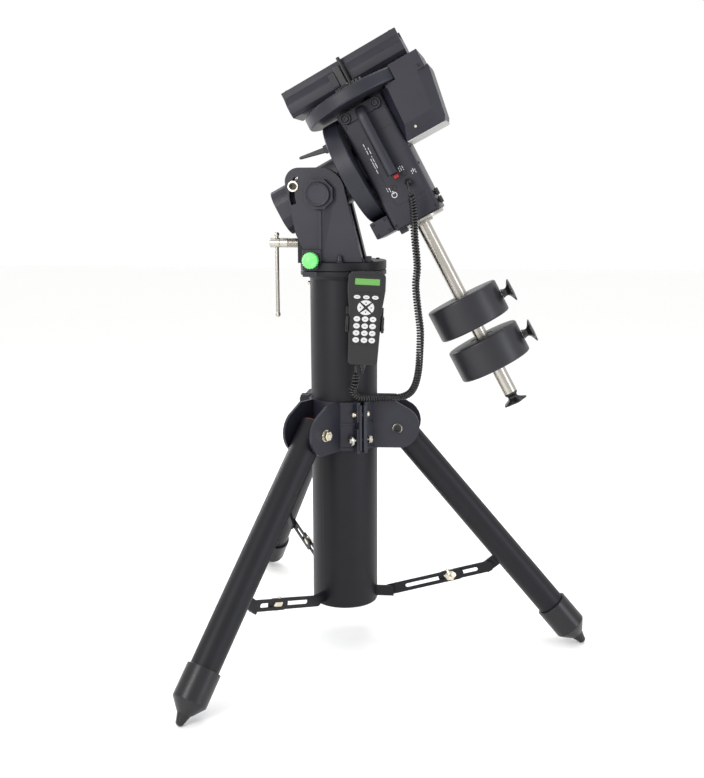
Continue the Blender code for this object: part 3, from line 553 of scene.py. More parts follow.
def swept(path, half_a, half_b, side, steps=28, square=2.6):
    """A bar of rounded section along a path of points. side is the direction of its half_a axis."""
    points = [Vector(p) for p in path]
    side = Vector(side)
    bm = bmesh.new()
    rings = []
    for i, point in enumerate(points):
        ahead = points[min(i + 1, len(points) - 1)] - points[max(i - 1, 0)]
        up = ahead.normalized().cross(side)
        ring = []
        for k in range(steps):
            a = 2 * math.pi * k / steps
            c, d = math.cos(a), math.sin(a)
            swell = (abs(c) ** square + abs(d) ** square) ** (-1 / square)
            ring.append(bm.verts.new(point + side * half_a * swell * c + up * half_b * swell * d))
        rings.append(ring)
    for low, high in zip(rings, rings[1:]):
        for k in range(steps):
            m = (k + 1) % steps
            bm.faces.new((low[k], low[m], high[m], high[k]))
    bm.faces.new(rings[0])
    bm.faces.new(rings[-1])
    return bm


def joined(*shapes):
    """Several closed shapes as one mesh."""
    whole = bmesh.new()
    for shape in shapes:
        mesh = bpy.data.meshes.new("part")
        shape.to_mesh(mesh)
        shape.free()
        whole.from_mesh(mesh)
        bpy.data.meshes.remove(mesh)
    return whole


def socket_screw(head_r, head_h, key_r, axis="Z", at=(0, 0, 0)):
    """A socket-head screw seen from outside: knurled head with a hollow for the key."""
    return turned([(0, 0), (head_r, 0), (head_r, head_h - 0.5), (head_r - 0.5, head_h), (key_r, head_h),
                   (key_r * 0.9, head_h - 0.55 * head_h), (0, head_h - 0.6 * head_h)], 24, axis, at)


def hex_nut(across, height, bore, axis="Z", at=(0, 0, 0)):
    """A nut with chamfered corners around a bolt's end."""
    profile = [(0, 0), (across * 0.52, 0), (across * 0.56, height * 0.15), (across * 0.56, height * 0.85),
               (across * 0.52, height), (bore, height), (bore, height * 1.25), (0, height * 1.25)]
    return turned(profile, 6, axis, at)


# ---------------------------------------------------------------- pieces


def dress(mesh, material):
    """Smooth shading between sharp edges, and the finish."""
    mesh.shade_smooth()
    mesh.set_sharp_from_angle(angle=math.radians(SHARP))
    mesh.materials.append(finish(material))


def soften(obj, width):
    """A real round on each sharp edge."""
    if width <= 0:
        return
    modifier = obj.modifiers.new("Edge", "BEVEL")
    modifier.width = width
    modifier.segments = 3
    modifier.limit_method = "ANGLE"
    modifier.angle_limit = math.radians(SHARP)
    modifier.use_clamp_overlap = True
    modifier.harden_normals = True


def piece(name, shape, place, material, body, edge=0.0, stands_for=()):
    """Puts a shape drawn in millimetres where it belongs, as a piece that rides on a body."""
    shape.transform(place @ Matrix.Scale(MM, 4))
    bmesh.ops.recalc_face_normals(shape, faces=shape.faces)
    mesh = bpy.data.meshes.new(name)
    shape.to_mesh(mesh)
    shape.free()
    obj = bpy.data.objects.new(name, mesh)
    bpy.context.scene.collection.objects.link(obj)
    dress(mesh, material)
    soften(obj, edge * MM)
    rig.ride(obj, body)
    if stands_for:
        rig.replaces(obj, *stands_for)
    return obj


def refined(node_name, material, edge=None, convex=False):
    """The frame's own shape with its flats whole again and its edges rounded.

    A flat with deep notches is cut into convex faces, so that the rounds of its edges can't fold it over.
    """
    source = frame["nodes"][node_name]
    bm = bmesh.new()
    bm.from_mesh(source.data)
    bmesh.ops.remove_doubles(bm, verts=bm.verts, dist=0.02 * MM)
    bmesh.ops.dissolve_limit(bm, angle_limit=math.radians(0.6), verts=bm.verts, edges=bm.edges)
    if convex:
        bmesh.ops.connect_verts_concave(bm, faces=bm.faces)
    bm.transform(Matrix.Scale(1 / MM, 4))
    width = bpy.context.scene.mount_sizes.edge if edge is None else edge
    return piece(f"{node_name}_shown", bm, Matrix.Identity(4), material, source["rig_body"], width,
                 stands_for=[node_name])


def leg_frame(name):
    return PIER_FRAME @ Matrix.Rotation(math.radians(LEG_AZIMUTHS[name]), 4, "Z")


def leg_axis_frame(name):
    """Along a leg: z up the tube, origin at its pivot."""
    pivot = Vector((LEG_PIVOT[0], 0, LEG_PIVOT[1])) * MM
    return leg_frame(name) @ Matrix.Translation(pivot) @ Matrix.Rotation(-LEG_SPREAD, 4, "Y")


def hand_frame():
    """Middle of the hand controller's back, turned to lie against the pier."""
    across = Vector((-math.sin(HAND_AZIMUTH), math.cos(HAND_AZIMUTH), 0)) * HAND_ACROSS
    outward = Vector((math.cos(HAND_AZIMUTH), math.sin(HAND_AZIMUTH), 0)) * HAND_OUT
    turn = Matrix.Rotation(HAND_AZIMUTH + math.pi / 2, 4, "Z")
    return (Matrix.Translation(PIER + across + outward + Vector((0, 0, HAND_UP))) @ turn
            @ Matrix.Rotation(HAND_TILT, 4, "Y"))


# ---------------------------------------------------------------- stage


class MOUNT_OT_stage(bpy.types.Operator):
    """Camera, soft lights and the pale floor"""

    bl_idname = "mount.stage"
    bl_label = "Stage"

    def execute(self, context):
        data = bpy.data.cameras.new("camera")
        data.lens = 49.62
        data.sensor_width = 36.0
        data.clip_end = 100.0
        camera = bpy.data.objects.new("camera", data)
        camera.matrix_world = (Matrix.Translation(PIER + Vector((0.42786, -2.40201, 1.05466)))
                               @ Matrix.Rotation(math.radians(9.682), 4, "Z")
                               @ Matrix.Rotation(math.radians(90 - 10.541), 4, "X")
                               @ Matrix.Rotation(math.radians(-0.292), 4, "Z"))
        context.scene.collection.objects.link(camera)
        context.scene.camera = camera
        self.add_floor(context)
        middle = Vector((0.0, 0.0, 0.75))
        for name, place, width, height, power, tint in (
                ("key_softbox", (-1.5, -2.6, 1.7), 1.0, 1.8, 52, (1.0, 0.98, 0.96)),
                ("fill_softbox", (2.6, -1.2, 1.2), 0.8, 2.2, 26, (0.88, 0.92, 1.0)),
                ("top_softbox", (0.1, 0.4, 3.0), 1.6, 1.2, 22, (1.0, 1.0, 1.0)),
                ("rim_softbox", (-2.2, 1.6, 1.6), 1.0, 1.8, 34, (0.95, 0.97, 1.0))):
            light = bpy.data.lights.new(name, "AREA")
            light.shape = "RECTANGLE"
            light.size = width
            light.size_y = height
            light.energy = power
            light.color = tint
            lamp = bpy.data.objects.new(name, light)
            lamp.location = place
            lamp.rotation_euler = (middle - lamp.location).to_track_quat("-Z", "Y").to_euler()
            context.scene.collection.objects.link(lamp)
        world = bpy.data.worlds.new("studio")
        context.scene.world = world
        world.use_nodes = True
        surroundings = world.node_tree.nodes["Background"]
        surroundings.inputs["Color"].default_value = (1.0, 1.0, 1.0, 1.0)
        surroundings.inputs["Strength"].default_value = 1.0
        context.scene.view_settings.view_transform = "Standard"
        return {"FINISHED"}

    def add_floor(self, context):
        bm = bmesh.new()
        bmesh.ops.create_grid(bm, x_segments=8, y_segments=8, size=12.0)
        mesh = bpy.data.meshes.new("floor")
        bm.to_mesh(mesh)
        bm.free()
        floor = bpy.data.objects.new("floor", mesh)
        context.scene.collection.objects.link(floor)
        material, tree, shader = bare_material("studio_floor", linear("#FDFDFC"), 0.55)
        grained(tree, shader, linear("#FDFDFC"), 6.0, 0.02, 0.01, 0.6)
        mesh.materials.append(material)
        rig.stage(floor)


# ---------------------------------------------------------------- cord


def even_route(points, step):
    """Points a step apart along a smooth curve through the route."""
    route = [Vector(p) for p in points]
    padded = [2 * route[0] - route[1], *route, 2 * route[-1] - route[-2]]
    dense = []
    for i in range(1, len(padded) - 2):
        a, b, c, d = padded[i - 1:i + 3]
        for k in range(24):
            t = k / 24
            dense.append(0.5 * (2 * b + (c - a) * t + (2 * a - 5 * b + 4 * c - d) * t * t
                                + (3 * b - a - 3 * c + d) * t ** 3))
    dense.append(route[-1])
    even, left = [dense[0]], step
    for here, there in zip(dense, dense[1:]):
        span = (there - here).length
        done = 0.0
        while span - done >= left:
            done += left
            even.append(here.lerp(there, done / span))
            left = step
        left -= span - done
    return even


def coil_about(route, step, radius, pitch, lead, fade):
    """A helix around the route. Its ends run straight for lead and open out over fade."""
    length = step * (len(route) - 1)
    side = Vector((1, 0, 0))
    path, turn = [], 0.0
    for i, point in enumerate(route):
        ahead = (route[min(i + 1, len(route) - 1)] - route[max(i - 1, 0)]).normalized()
        side = (side - side.dot(ahead) * ahead).normalized()
        up = ahead.cross(side)
        near_end = min(step * i - lead[0], length - step * i - lead[1])
        share = min(1.0, max(0.0, near_end / fade))
        opening = share * share * (3 - 2 * share)
        path.append(point + radius * opening * (math.cos(turn) * side + math.sin(turn) * up))
        turn += 2 * math.pi * step / pitch * opening
    return path


class MOUNT_OT_cord(bpy.types.Operator):
    """Curly cord from the head to the hand controller, with its plug and strain relief"""

    bl_idname = "mount.cord"
    bl_label = "Curly cord"

    def execute(self, context):
        sizes = context.scene.mount_sizes
        step = sizes.pitch / 14
        route = even_route(CORD_ROUTE, step)
        radius = (sizes.coil - sizes.wire) / 2
        wire = coil_about(route, step, radius, sizes.pitch, CORD_LEADS, CORD_OPENS_OVER)
        wire = [point + PIER for point in wire]
        curve = bpy.data.curves.new("curly_cord_wire", "CURVE")
        curve.dimensions = "3D"
        curve.bevel_depth = sizes.wire / 2
        curve.bevel_resolution = 2
        curve.use_fill_caps = True
        spline = curve.splines.new("POLY")
        spline.points.add(len(wire) - 1)
        for point, place in zip(spline.points, wire):
            point.co = (*place, 1.0)
        spline.use_smooth = True
        curve.materials.append(finish("cord_pvc"))
        cord = bpy.data.objects.new("curly_cord_wire", curve)
        context.scene.collection.objects.link(cord)
        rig.ride(cord, "tripod")
        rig.replaces(cord, "curly_cord")
        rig.slot(cord, "rubber")
        plug = self.add_plug()
        boot = self.add_boot()
        length = sum((b - a).length for a, b in zip(wire, wire[1:]))
        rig.cord(cord, exit=tuple(wire[0]), length=length, diameter=sizes.wire, far_end="object",
                stiffness="limp", lay="hanging", with_pieces=[plug, boot])
        return {"FINISHED"}

    def add_plug(self):
        ribs = [(7.5 - 0.5 * (i % 2), 66 + 1.4 * i) for i in range(9)]
        profile = [(0, 62.3), (7.5, 62.3), *ribs, (6.6, 79.0), (4.8, 84.0), (3.4, 87.0), (0, 87.0)]
        shape = turned(profile, 32, "-Y", (20, 0, -80))
        return piece("cord_plug_grip", shape, HEAD_FRAME, "moulded_abs", "polar", 0.3, ["cord_plug"])

    def add_boot(self):
        ribs = [(5.6 - 0.28 * i - 0.8 * (i % 2), -9 - 1.5 * i) for i in range(8)]
        profile = [(0, 2), (6.6, 2), (6.6, -6), (5.9, -8), *ribs, (3.0, -21), (0, -21)]
        shape = turned(profile, 32, "Z", (0, -13.5, -102))
        return piece("controller_boot", shape, hand_frame(), "nitrile_rubber", "tripod", 0.2)


# ---------------------------------------------------------------- pier and collar


class MOUNT_OT_pier(bpy.types.Operator):
    """Pier tube with its lugs, top flange and bottom cap"""

    bl_idname = "mount.pier"
    bl_label = "Pier"

    def execute(self, context):
        refined("pier_tube", "powder_coated_steel")
        refined("pier_bottom_cap", "moulded_abs")
        steps = context.scene.mount_sizes.round_steps
        flange = [(0, 851), (71, 851), (71, 865.3), (93.5, 865.3), (96.2, 866.3), (97.2, 868.8),
                  (97.2, 875.0), (96.2, 877.4), (94.0, 878.2), (0, 878.2)]
        piece("pier_flange_plate", turned(flange, steps), PIER_FRAME, "powder_coated_steel", "tripod",
              stands_for=["pier_flange"])
        seam = [(PIER_R, 858.0), (PIER_R + 1.6, 859.4), (PIER_R + 2.4, 862.0), (PIER_R + 4.2, 865.2),
                (PIER_R, 865.2)]
        piece("pier_weld_bead", turned(seam, steps), PIER_FRAME, "powder_coated_steel", "tripod")
        head = [(0, 0), (4.6, 0), (4.6, 1.4), (3.2, 2.6), (2.2, 2.6), (2.0, 1.2), (0, 1.0)]
        screws = []
        for angle in (35, 145, 215, 325):
            a = math.radians(angle)
            screws.append(turned(head, 20, "Z", (87 * math.cos(a), 87 * math.sin(a), BASE_TOP)))
        piece("base_screws", joined(*screws), PIER_FRAME, "blackened_steel", "fork", 0.1)
        nuts = []
        for angle in (188, 308, 68):
            a = math.radians(angle)
            nuts.append(hex_nut(9.0, 5.0, 2.5, "X"))
            nuts[-1].transform(Matrix.Rotation(a, 4, "Z") @ Matrix.Translation((PIER_R - 0.5, 0, 846)))
        piece("flange_nuts", joined(*nuts), PIER_FRAME, "zinc_plated_steel", "tripod", 0.2)
        return {"FINISHED"}


class MOUNT_OT_collar(bpy.types.Operator):
    """Three-part collar with its ribs, clamp bolts and leg pivots"""

    bl_idname = "mount.collar"
    bl_label = "Leg collar"

    def execute(self, context):
        for name in LEG_AZIMUTHS:
            place = leg_frame(name)
            refined(f"collar_segment_{name}", "textured_cast_aluminium", 1.4)
            self.add_ribs(name, place)
            self.add_clamp_bolts(name, place)
            self.add_pivot(name, place)
        return {"FINISHED"}

    def add_ribs(self, name, place):
        """Raised bands at the collar's edges and middle."""
        bands = []
        for low, high in ((474.5, 480.5), (532.0, 538.0), (578.5, 584.5)):
            for start, end in ((-54.0, -29.0), (29.0, 54.0)):
                outside = arc((0, 0), COLLAR_R + 1.5, start, end, 10)
                inside = arc((0, 0), COLLAR_R - 2, end, start, 10)
                bands.append(prism(outside + inside, (low, high)))
        piece(f"collar_ribs_{name}", joined(*bands), place, "textured_cast_aluminium", "tripod", 0.8)

    def add_clamp_bolts(self, name, place):
        """Two bolts through the flanges where this segment meets the next."""
        turn = place @ Matrix.Rotation(math.radians(60), 4, "Z")
        pads = [box((79, 101), side, height) for side in ((-13, -4.6), (4.6, 13))
                for height in ((470, 527), (541, 588))]
        piece(f"clamp_pads_{name}", joined(*pads), turn, "textured_cast_aluminium", "tripod", 1.6)
        top = joined(turned([(0, -17), (5.6, -17), (5.6, 17), (0, 17)], 24, "Y", (91, 0, 558)),
                     hex_nut(10.5, 5, 3.0, "-Y", (91, -15.5, 558)),
                     hex_nut(10.5, 5, 2.0, "Y", (91, 15.5, 558)))
        piece(f"clamp_bolt_top_{name}", top, turn, "zinc_plated_steel", "tripod", 0.3)
        disc = [(0, 20.5), (11.5, 20.5), (12.4, 21.6), (12.4, 25.0), (11.2, 26.4), (6.5, 26.6), (5.8, 30),
                (0, 30.4)]
        shank = turned([(0, -26), (3.6, -26), (3.6, 24), (0, 24)], 24, "Y", (93, 0, 500))
        washer = turned([(3.6, 17), (9.4, 17), (9.4, 18.8), (3.6, 18.8)], 32, "Y", (93, 0, 500))
        nut = hex_nut(15.5, 7.5, 3.0, "Y", (93, 18.8, 500))
        low = joined(turned(disc, 48, "-Y", (93, 0, 500)), shank, washer, nut)
        piece(f"clamp_bolt_low_{name}", low, turn, "turned_stainless_steel", "tripod", 0.3)

    def add_pivot(self, name, place):
        """Bolt, washers and lock nut that a leg turns on."""
        x, z = LEG_PIVOT
        shank = turned([(0, -42), (5.0, -42), (5.0, 54), (0, 54)], 20, "Y", (x, 0, z))
        near_washer = turned([(5, 0), (11, 0), (11, 1.8), (5, 1.8)], 28, "-Y", (x, -EAR_OUTER_Y, z))
        far_washer = turned([(5, 0), (13.5, 0), (13.5, 2), (5, 2)], 36, "Y", (x, EAR_OUTER_Y, z))
        nut = hex_nut(21, 9, 6.0, "Y", (x, EAR_OUTER_Y + 2, z))
        piece(f"pivot_bolt_{name}", joined(shank, near_washer, far_washer, nut), place,
              "zinc_plated_steel", "tripod", 0.3, [f"leg_pivot_bolt_{name}"])
        profile = [(0, 0), (9.6, 0), (9.8, 0.8), (9.8, 5.4), (8.8, 6.2), (5.8, 6.2), (5.4, 1.6), (0, 1.4)]
        head = turned(profile, 40, "-Y", (x, -EAR_OUTER_Y - 1.8, z))
        piece(f"pivot_head_{name}", head, place, "blackened_steel", "tripod", 0.2)


# ---------------------------------------------------------------- legs and braces


class MOUNT_OT_legs(bpy.types.Operator):
    """Three tube legs with their cut ends and rubber feet"""

    bl_idname = "mount.legs"
    bl_label = "Legs"

    def execute(self, context):
        steps = context.scene.mount_sizes.round_steps
        for name in LEG_AZIMUTHS:
            place = leg_axis_frame(name)
            refined(f"leg_tube_{name}", "powder_coated_steel", 0.5, convex=True)
            refined(f"leg_foot_{name}", "nitrile_rubber", 1.2)
            cut = [(LEG_R - 2.4, 20.6), (LEG_R - 0.2, 20.6), (LEG_R - 0.2, 22.3), (LEG_R - 2.4, 22.3)]
            piece(f"leg_cut_end_{name}", turned(cut, steps), place, "bare_copper", f"leg_{name}", 0.2)
        return {"FINISHED"}


class MOUNT_OT_braces(bpy.types.Operator):
    """Slotted brace plates and the knobs that lock them"""

    bl_idname = "mount.braces"
    bl_label = "Leg braces"

    def execute(self, context):
        start, end = Vector(BRACE_PIER), Vector(BRACE_LEG)
        x, z = start.lerp(end, BRACE_KNOB_SHARE)
        for name in LEG_AZIMUTHS:
            place = leg_frame(name)
            for part in ("inner", "outer"):
                refined(f"brace_{part}_{name}", "powder_coated_steel", 0.5)
            low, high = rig.box(f"brace_knob_{name}")
            centre = (place.inverted() @ ((low + high) / 2)) / MM
            reach = centre.y - 15.5
            profile = [(0, 0), (6.0, 0, 0.2), (9.5, 2.5, 0.6), (14.0, 5.0, 1.3), (15.2, 8.0, 1.6),
                       (14.8, 11.5, 1.5), (12.0, 13.5, 0.9), (7.0, 14.2, 0.2), (0, 14.4)]
            knob = turned(profile, 72, "Y", (x, centre.y - 4, z), 6)
            stud = turned([(0, reach), (3.8, reach), (3.8, centre.y), (0, centre.y)], 16, "Y", (x, 0, z))
            piece(f"brace_wing_{name}", knob, place, "zinc_plated_steel", f"brace_knob_{name}", 0.4,
                  [f"brace_knob_{name}"])
            piece(f"brace_stud_{name}", stud, place, "zinc_plated_steel", f"brace_knob_{name}", 0.2)
        return {"FINISHED"}


# ---------------------------------------------------------------- hand controller


def hand_outline(shrink=0.0):
    """Front view of the hand controller about its centre, as (across, up)."""
    s = shrink
    return (arc((0, -220), 322.5 - s, 84.0, 96.0, 10) + arc((-33.5, 90), 7 - s, 110, 180, 5)
            + [(-41.1 + s, 62), (-38.6 + s, 40), (-36.0 + s, 22), (-35.0 + s, 6), (-34.4 + s, -20)]
            + arc((-25, -95), 7 - s, 180, 270, 5) + arc((25, -95), 7 - s, 270, 360, 5)
            + [(34.4 - s, -20), (35.0 - s, 6), (36.0 - s, 22), (38.6 - s, 40), (41.1 - s, 62)]
            + arc((33.5, 90), 7 - s, 0, 70, 5))


def oval(centre, half_a, half_b, steps=28):
    turns = [2 * math.pi * i / steps for i in range(steps)]
    return [(centre[0] + half_a * math.cos(a), centre[1] + half_b * math.sin(a)) for a in turns]


def petal(centre_angle):
    """A direction key: one quarter of an oval cut by two crossing gaps."""
    half_a, half_b, gap, inner = 17.8, 15.6, 1.5, 3.0
    spread = 42.0
    outside = []
    for i in range(9):
        a = math.radians(centre_angle - spread + 2 * spread * i / 8)
        outside.append((half_a * math.cos(a), half_b * math.sin(a)))
    ahead = math.radians(centre_angle)
    tip = (inner * math.cos(ahead), inner * math.sin(ahead))
    away = (gap * math.cos(ahead) * 0.4, gap * math.sin(ahead) * 0.4)
    return [(x + away[0], 24 + y + away[1]) for x, y in [*outside, tip]]


class MOUNT_OT_controller(bpy.types.Operator):
    """Hand controller with its display, keys and holder"""

    bl_idname = "mount.controller"
    bl_label = "Hand controller"

    def execute(self, context):
        place = hand_frame()
        body = "hand_controller"
        shell = prism(hand_outline(), (HAND_FRONT, 0), "Y")
        piece("controller_shell", shell, place, "moulded_abs", body, 3.2, ["hand_controller"])
        lip = rim(hand_outline(-0.25), hand_outline(1.0), (-15.6, -14.2), "Y")
        piece("controller_parting_line", lip, place, "moulded_abs", body)
        bezel = rounded(30.9, 17.5, 4, 5, (2.4, 77.1))
        inner = rounded(27.0, 6.8, 1.2, 5, (0.8, 79.6))
        piece("display_bezel", rim(bezel, inner, (-28.4, -26.0), "Y"), place, "moulded_abs", body, 0.5)
        piece("display_window", prism(inner, (-27.5, -26.0), "Y"), place, "display_glass", body)
        mat_edge = rounded(32.0, 57.2, 6, 5, (0, -1.2))
        mat_hole = rounded(30.2, 55.4, 5, 5, (0, -1.2))
        surround = rim(mat_edge, mat_hole, (-28.0, -26.0), "Y")
        piece("keypad_surround", surround, place, "moulded_abs", body, 0.4)
        mat = prism(rounded(30.0, 55.2, 5, 5, (0, -1.2)), (-27.3, -26.0), "Y")
        piece("keypad_mat", mat, place, "moulded_abs", "controller_keypad", stands_for=["controller_keypad"])
        keys = [oval((across, 46.5), 7.2, 4.2) for across in (-20.0, 0.0, 19.5)]
        keys += [petal(angle) for angle in (0, 90, 180, 270)]
        for row in range(4):
            keys += [oval((across, -1.0 - 15.4 * row), 7.2, 6.0) for across in (-18.0, 0.0, 17.0)]
        caps = joined(*[prism(key, (-29.2, -27.0), "Y") for key in keys])
        piece("keypad_keys", caps, place, "silicone_keys", "controller_keypad", 0.7)
        self.add_symbols(place)
        refined("controller_holder", "moulded_abs", 1.2)
        screws = [socket_screw(3.4, 1.6, 1.5, "-Y", (across, -30.2, -22.0)) for across in (-38.9, 38.9)]
        piece("holder_screws", joined(*screws), place, "blackened_steel", "tripod", 0.1)
        return {"FINISHED"}

    def add_symbols(self, place):
        """Plain marks pressed into the keys: a triangle on each arrow, a bar on each of the rest."""
        depth = (-29.35, -29.1)
        marks = []
        for angle, reach in ((0, 12.0), (90, 10.0), (180, 12.0), (270, 10.0)):
            a = math.radians(angle)
            corners = [(2.2, 0), (-1.4, 2.0), (-1.4, -2.0)]
            marks.append(prism([((reach + x) * math.cos(a) - y * math.sin(a),
                                 24 + (reach + x) * math.sin(a) + y * math.cos(a))
                                for x, y in corners], depth, "Y"))
        for row in range(4):
            for across in (-18.0, 0.0, 17.0):
                marks.append(prism(rounded(2.6, 0.55, 0.5, 2, (across, -1.0 - 15.4 * row)), depth, "Y"))
        for across in (-20.0, 0.0, 19.5):
            marks.append(prism(rounded(3.0, 0.5, 0.4, 2, (across, 46.5)), depth, "Y"))
        piece("key_marks", joined(*marks), place, "moulded_abs", "controller_keypad")


# ---------------------------------------------------------------- fork


class MOUNT_OT_fork(bpy.types.Operator):
    """Turning base, cheeks, altitude pins, lock bolt and azimuth knobs"""

    bl_idname = "mount.fork"
    bl_label = "Fork"

    def execute(self, context):
        refined("azimuth_base", "powder_coated_steel")
        for side, sign, axis in (("near", -1, "-Y"), ("far", 1, "Y")):
            refined(f"fork_cheek_{side}", "textured_cast_aluminium", 0.7)
            self.add_pivot_detail(side, axis)
            self.add_azimuth_knob(side, sign, axis)
        self.add_lock_bolt()
        self.add_base_details()
        return {"FINISHED"}

    def add_pivot_detail(self, side, axis):
        """Altitude pin with its broad domed cap, set in the octagonal boss."""
        x, z = ALT_PIVOT
        profile = [(0, 43), (19.5, 43), (19.5, 90.3), (24.6, 90.3), (26.0, 91.6), (26.2, 94.4), (25.4, 96.6),
                   (23.4, 97.8), (21.4, 97.4), (20.2, 96.6), (0, 96.2)]
        body = f"altitude_pin_{side}"
        cap = turned(profile, 96, axis, (x, 0, z))
        piece(f"{body}_cap", cap, PIER_FRAME, "textured_cast_aluminium", "fork", 0.0, [body])
        ring = turned([(27.2, 89.5), (29.4, 89.5), (29.4, 90.8), (27.2, 90.8)], 72, axis, (x, 0, z))
        piece(f"pivot_ring_{side}", ring, PIER_FRAME, "textured_cast_aluminium", "fork", 0.3)

    def add_azimuth_knob(self, side, sign, axis):
        """Scalloped hand wheel with a hub cap."""
        x, z = AZIMUTH_KNOB
        near, far = AZIMUTH_KNOB_Y
        profile = [(0, near), (9.0, near), (16.4, near + 0.6, 0.7), (17.6, near + 2, 0.8),
                   (17.6, far - 3, 0.8), (16.0, far - 0.8, 0.7), (12.0, far), (10.8, far - 0.6),
                   (6.2, far - 0.6), (5.2, far - 0.2), (0, far)]
        grip = turned(profile, 160, axis, (x, 0, z), 20)
        body = f"azimuth_knob_{side}"
        material = "green_acetal" if sign < 0 else "moulded_abs"
        piece(f"azimuth_wheel_{side}", grip, PIER_FRAME, material, body, 0.3, [body])
        stem = [(0, 78.5), (4.0, 78.5), (4.0, near - 2), (7.0, near - 1.6), (7.0, near), (0, near)]
        piece(f"azimuth_stem_{side}", turned(stem, 24, axis, (x, 0, z)), PIER_FRAME,
              "zinc_plated_steel", body, 0.1)

    def add_lock_bolt(self):
        """Socket bolt on a bright washer that clamps the head to the slotted cheek."""
        radius, angle = LOCK_AT
        at = (ALT_PIVOT[0] + radius * math.cos(angle), 0, ALT_PIVOT[1] + radius * math.sin(angle))
        washer = [(4.2, 78.3), (11.6, 78.3), (11.9, 78.7), (11.9, 80.0), (11.5, 80.4), (4.2, 80.4)]
        piece("lock_washer", turned(washer, 40, "-Y", at), PIER_FRAME,
              "zinc_plated_steel", "polar_housing", 0.1)
        bolt = turned([(0, 41), (4.0, 41), (4.0, 80.4), (7.2, 80.4, 0.0), (7.5, 81.0, 0.18),
                       (7.5, 86.0, 0.18), (7.0, 86.4), (4.0, 86.4), (3.6, 82.6), (0, 82.2)], 96, "-Y", at, 24)
        piece("lock_bolt", bolt, PIER_FRAME, "blackened_steel", "polar_housing", 0.0, ["altitude_lock_bolt"])
        small = turned([(0, 78), (2.2, 78), (2.2, 79.4), (1.6, 80.0), (0, 80.0)], 20, "-Y",
                       (at[0] + 10, 0, at[2] + 18))
        piece("cheek_screw", small, PIER_FRAME, "zinc_plated_steel", "fork", 0.1)

    def add_base_details(self):
        """Locating post, foot block, azimuth screw housing and the flange's lug under it."""
        base = BASE_TOP
        post = turned([(0, base - 1), (8.5, base - 1), (8.5, base + 2), (6.4, base + 4), (5.0, base + 13),
                       (4.0, base + 15), (0, base + 15.4)], 32, "Z", (6, -85, 0))
        block = box((57, 72), (-60, -44), (base - 2, base + 12))
        housing = joined(box((-77, -35), (-86, -56), (878.8, base + 28)),
                         box((-70, -40), (-90, -84), (882, base + 20)))
        piece("azimuth_screw_housing", housing, PIER_FRAME, "textured_cast_aluminium", "fork", 2.0)
        lug = box((-77, -36), (-86, -60), (865.6, 878.0))
        piece("pier_flange_lug", lug, PIER_FRAME, "textured_cast_aluminium", "tripod", 2.0)
        piece("base_post", post, PIER_FRAME, "textured_cast_aluminium", "fork", 0.3)
        piece("base_block", block, PIER_FRAME, "textured_cast_aluminium", "fork", 2.0)


class MOUNT_OT_altitude_screw(bpy.types.Operator):
    """Threaded altitude screw and the sliding bar that turns it"""

    bl_idname = "mount.altitude_screw"
    bl_label = "Altitude screw"

    def execute(self, context):
        profile = [(0, -169), (10.2, -169), (11.2, -168), (11.2, -147), (10.4, -146.2), (10.4, -144.8),
                   (11.2, -144.0), (11.2, -128)]
        for turn in range(13):
            start = -127 + 3.0 * turn
            profile += [(9.6, start), (9.6, start + 0.7), (11.0, start + 1.5), (11.0, start + 2.2)]
        profile += [(9.6, -87.5), (9.6, -60), (0, -60)]
        screw = turned(profile, 48, "X", (0, 0, 936))
        piece("altitude_thread", screw, PIER_FRAME, "turned_stainless_steel", "altitude_screw", 0.15,
              ["altitude_screw"])
        bar = [(0, -170.0), (3.4, -169.2), (5.6, -166.8), (6.2, -163.6), (5.6, -160.6), (4.5, -158.6),
               (4.5, 14.6), (5.6, 16.4), (6.2, 19.2), (5.4, 22.4), (3.2, 23.8), (0, 24.0)]
        piece("altitude_tommy_bar", turned(bar, 36, "Z", (-154, 0, 936)), PIER_FRAME,
              "turned_stainless_steel", "altitude_screw_bar", 0.0, ["altitude_screw_bar"])
        return {"FINISHED"}


# ---------------------------------------------------------------- head


class MOUNT_OT_polar_housing(bpy.types.Operator):
    """Polar housing, gear drum and clutch lever"""

    bl_idname = "mount.polar_housing"
    bl_label = "Polar housing"

    def execute(self, context):
        refined("polar_housing", "textured_cast_aluminium", 1.8)
        refined("polar_gear_drum", "textured_cast_aluminium", 1.6)
        cap = turned([(0, -274), (27, -274), (30, -272.4), (30.8, -268), (0, -268)], 72, "X")
        piece("rear_cap", cap, HEAD_FRAME, "moulded_abs", "polar_housing", 0.2)
        refined("polar_clutch_lever", "moulded_abs", 1.6)
        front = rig.box("polar_clutch_lever")[0].y / MM
        hub = turned([(0, front - 2.6), (6.2, front - 2.6), (7.2, front - 1.8), (7.2, front + 2),
                      (0, front + 2)], 32, "Y")
        at = HEAD_FRAME @ CLUTCH_AT
        piece("clutch_hub", hub, Matrix.Translation((at.x, 0, at.z)), "blackened_steel",
              "polar_clutch_lever", 0.2)
        return {"FINISHED"}


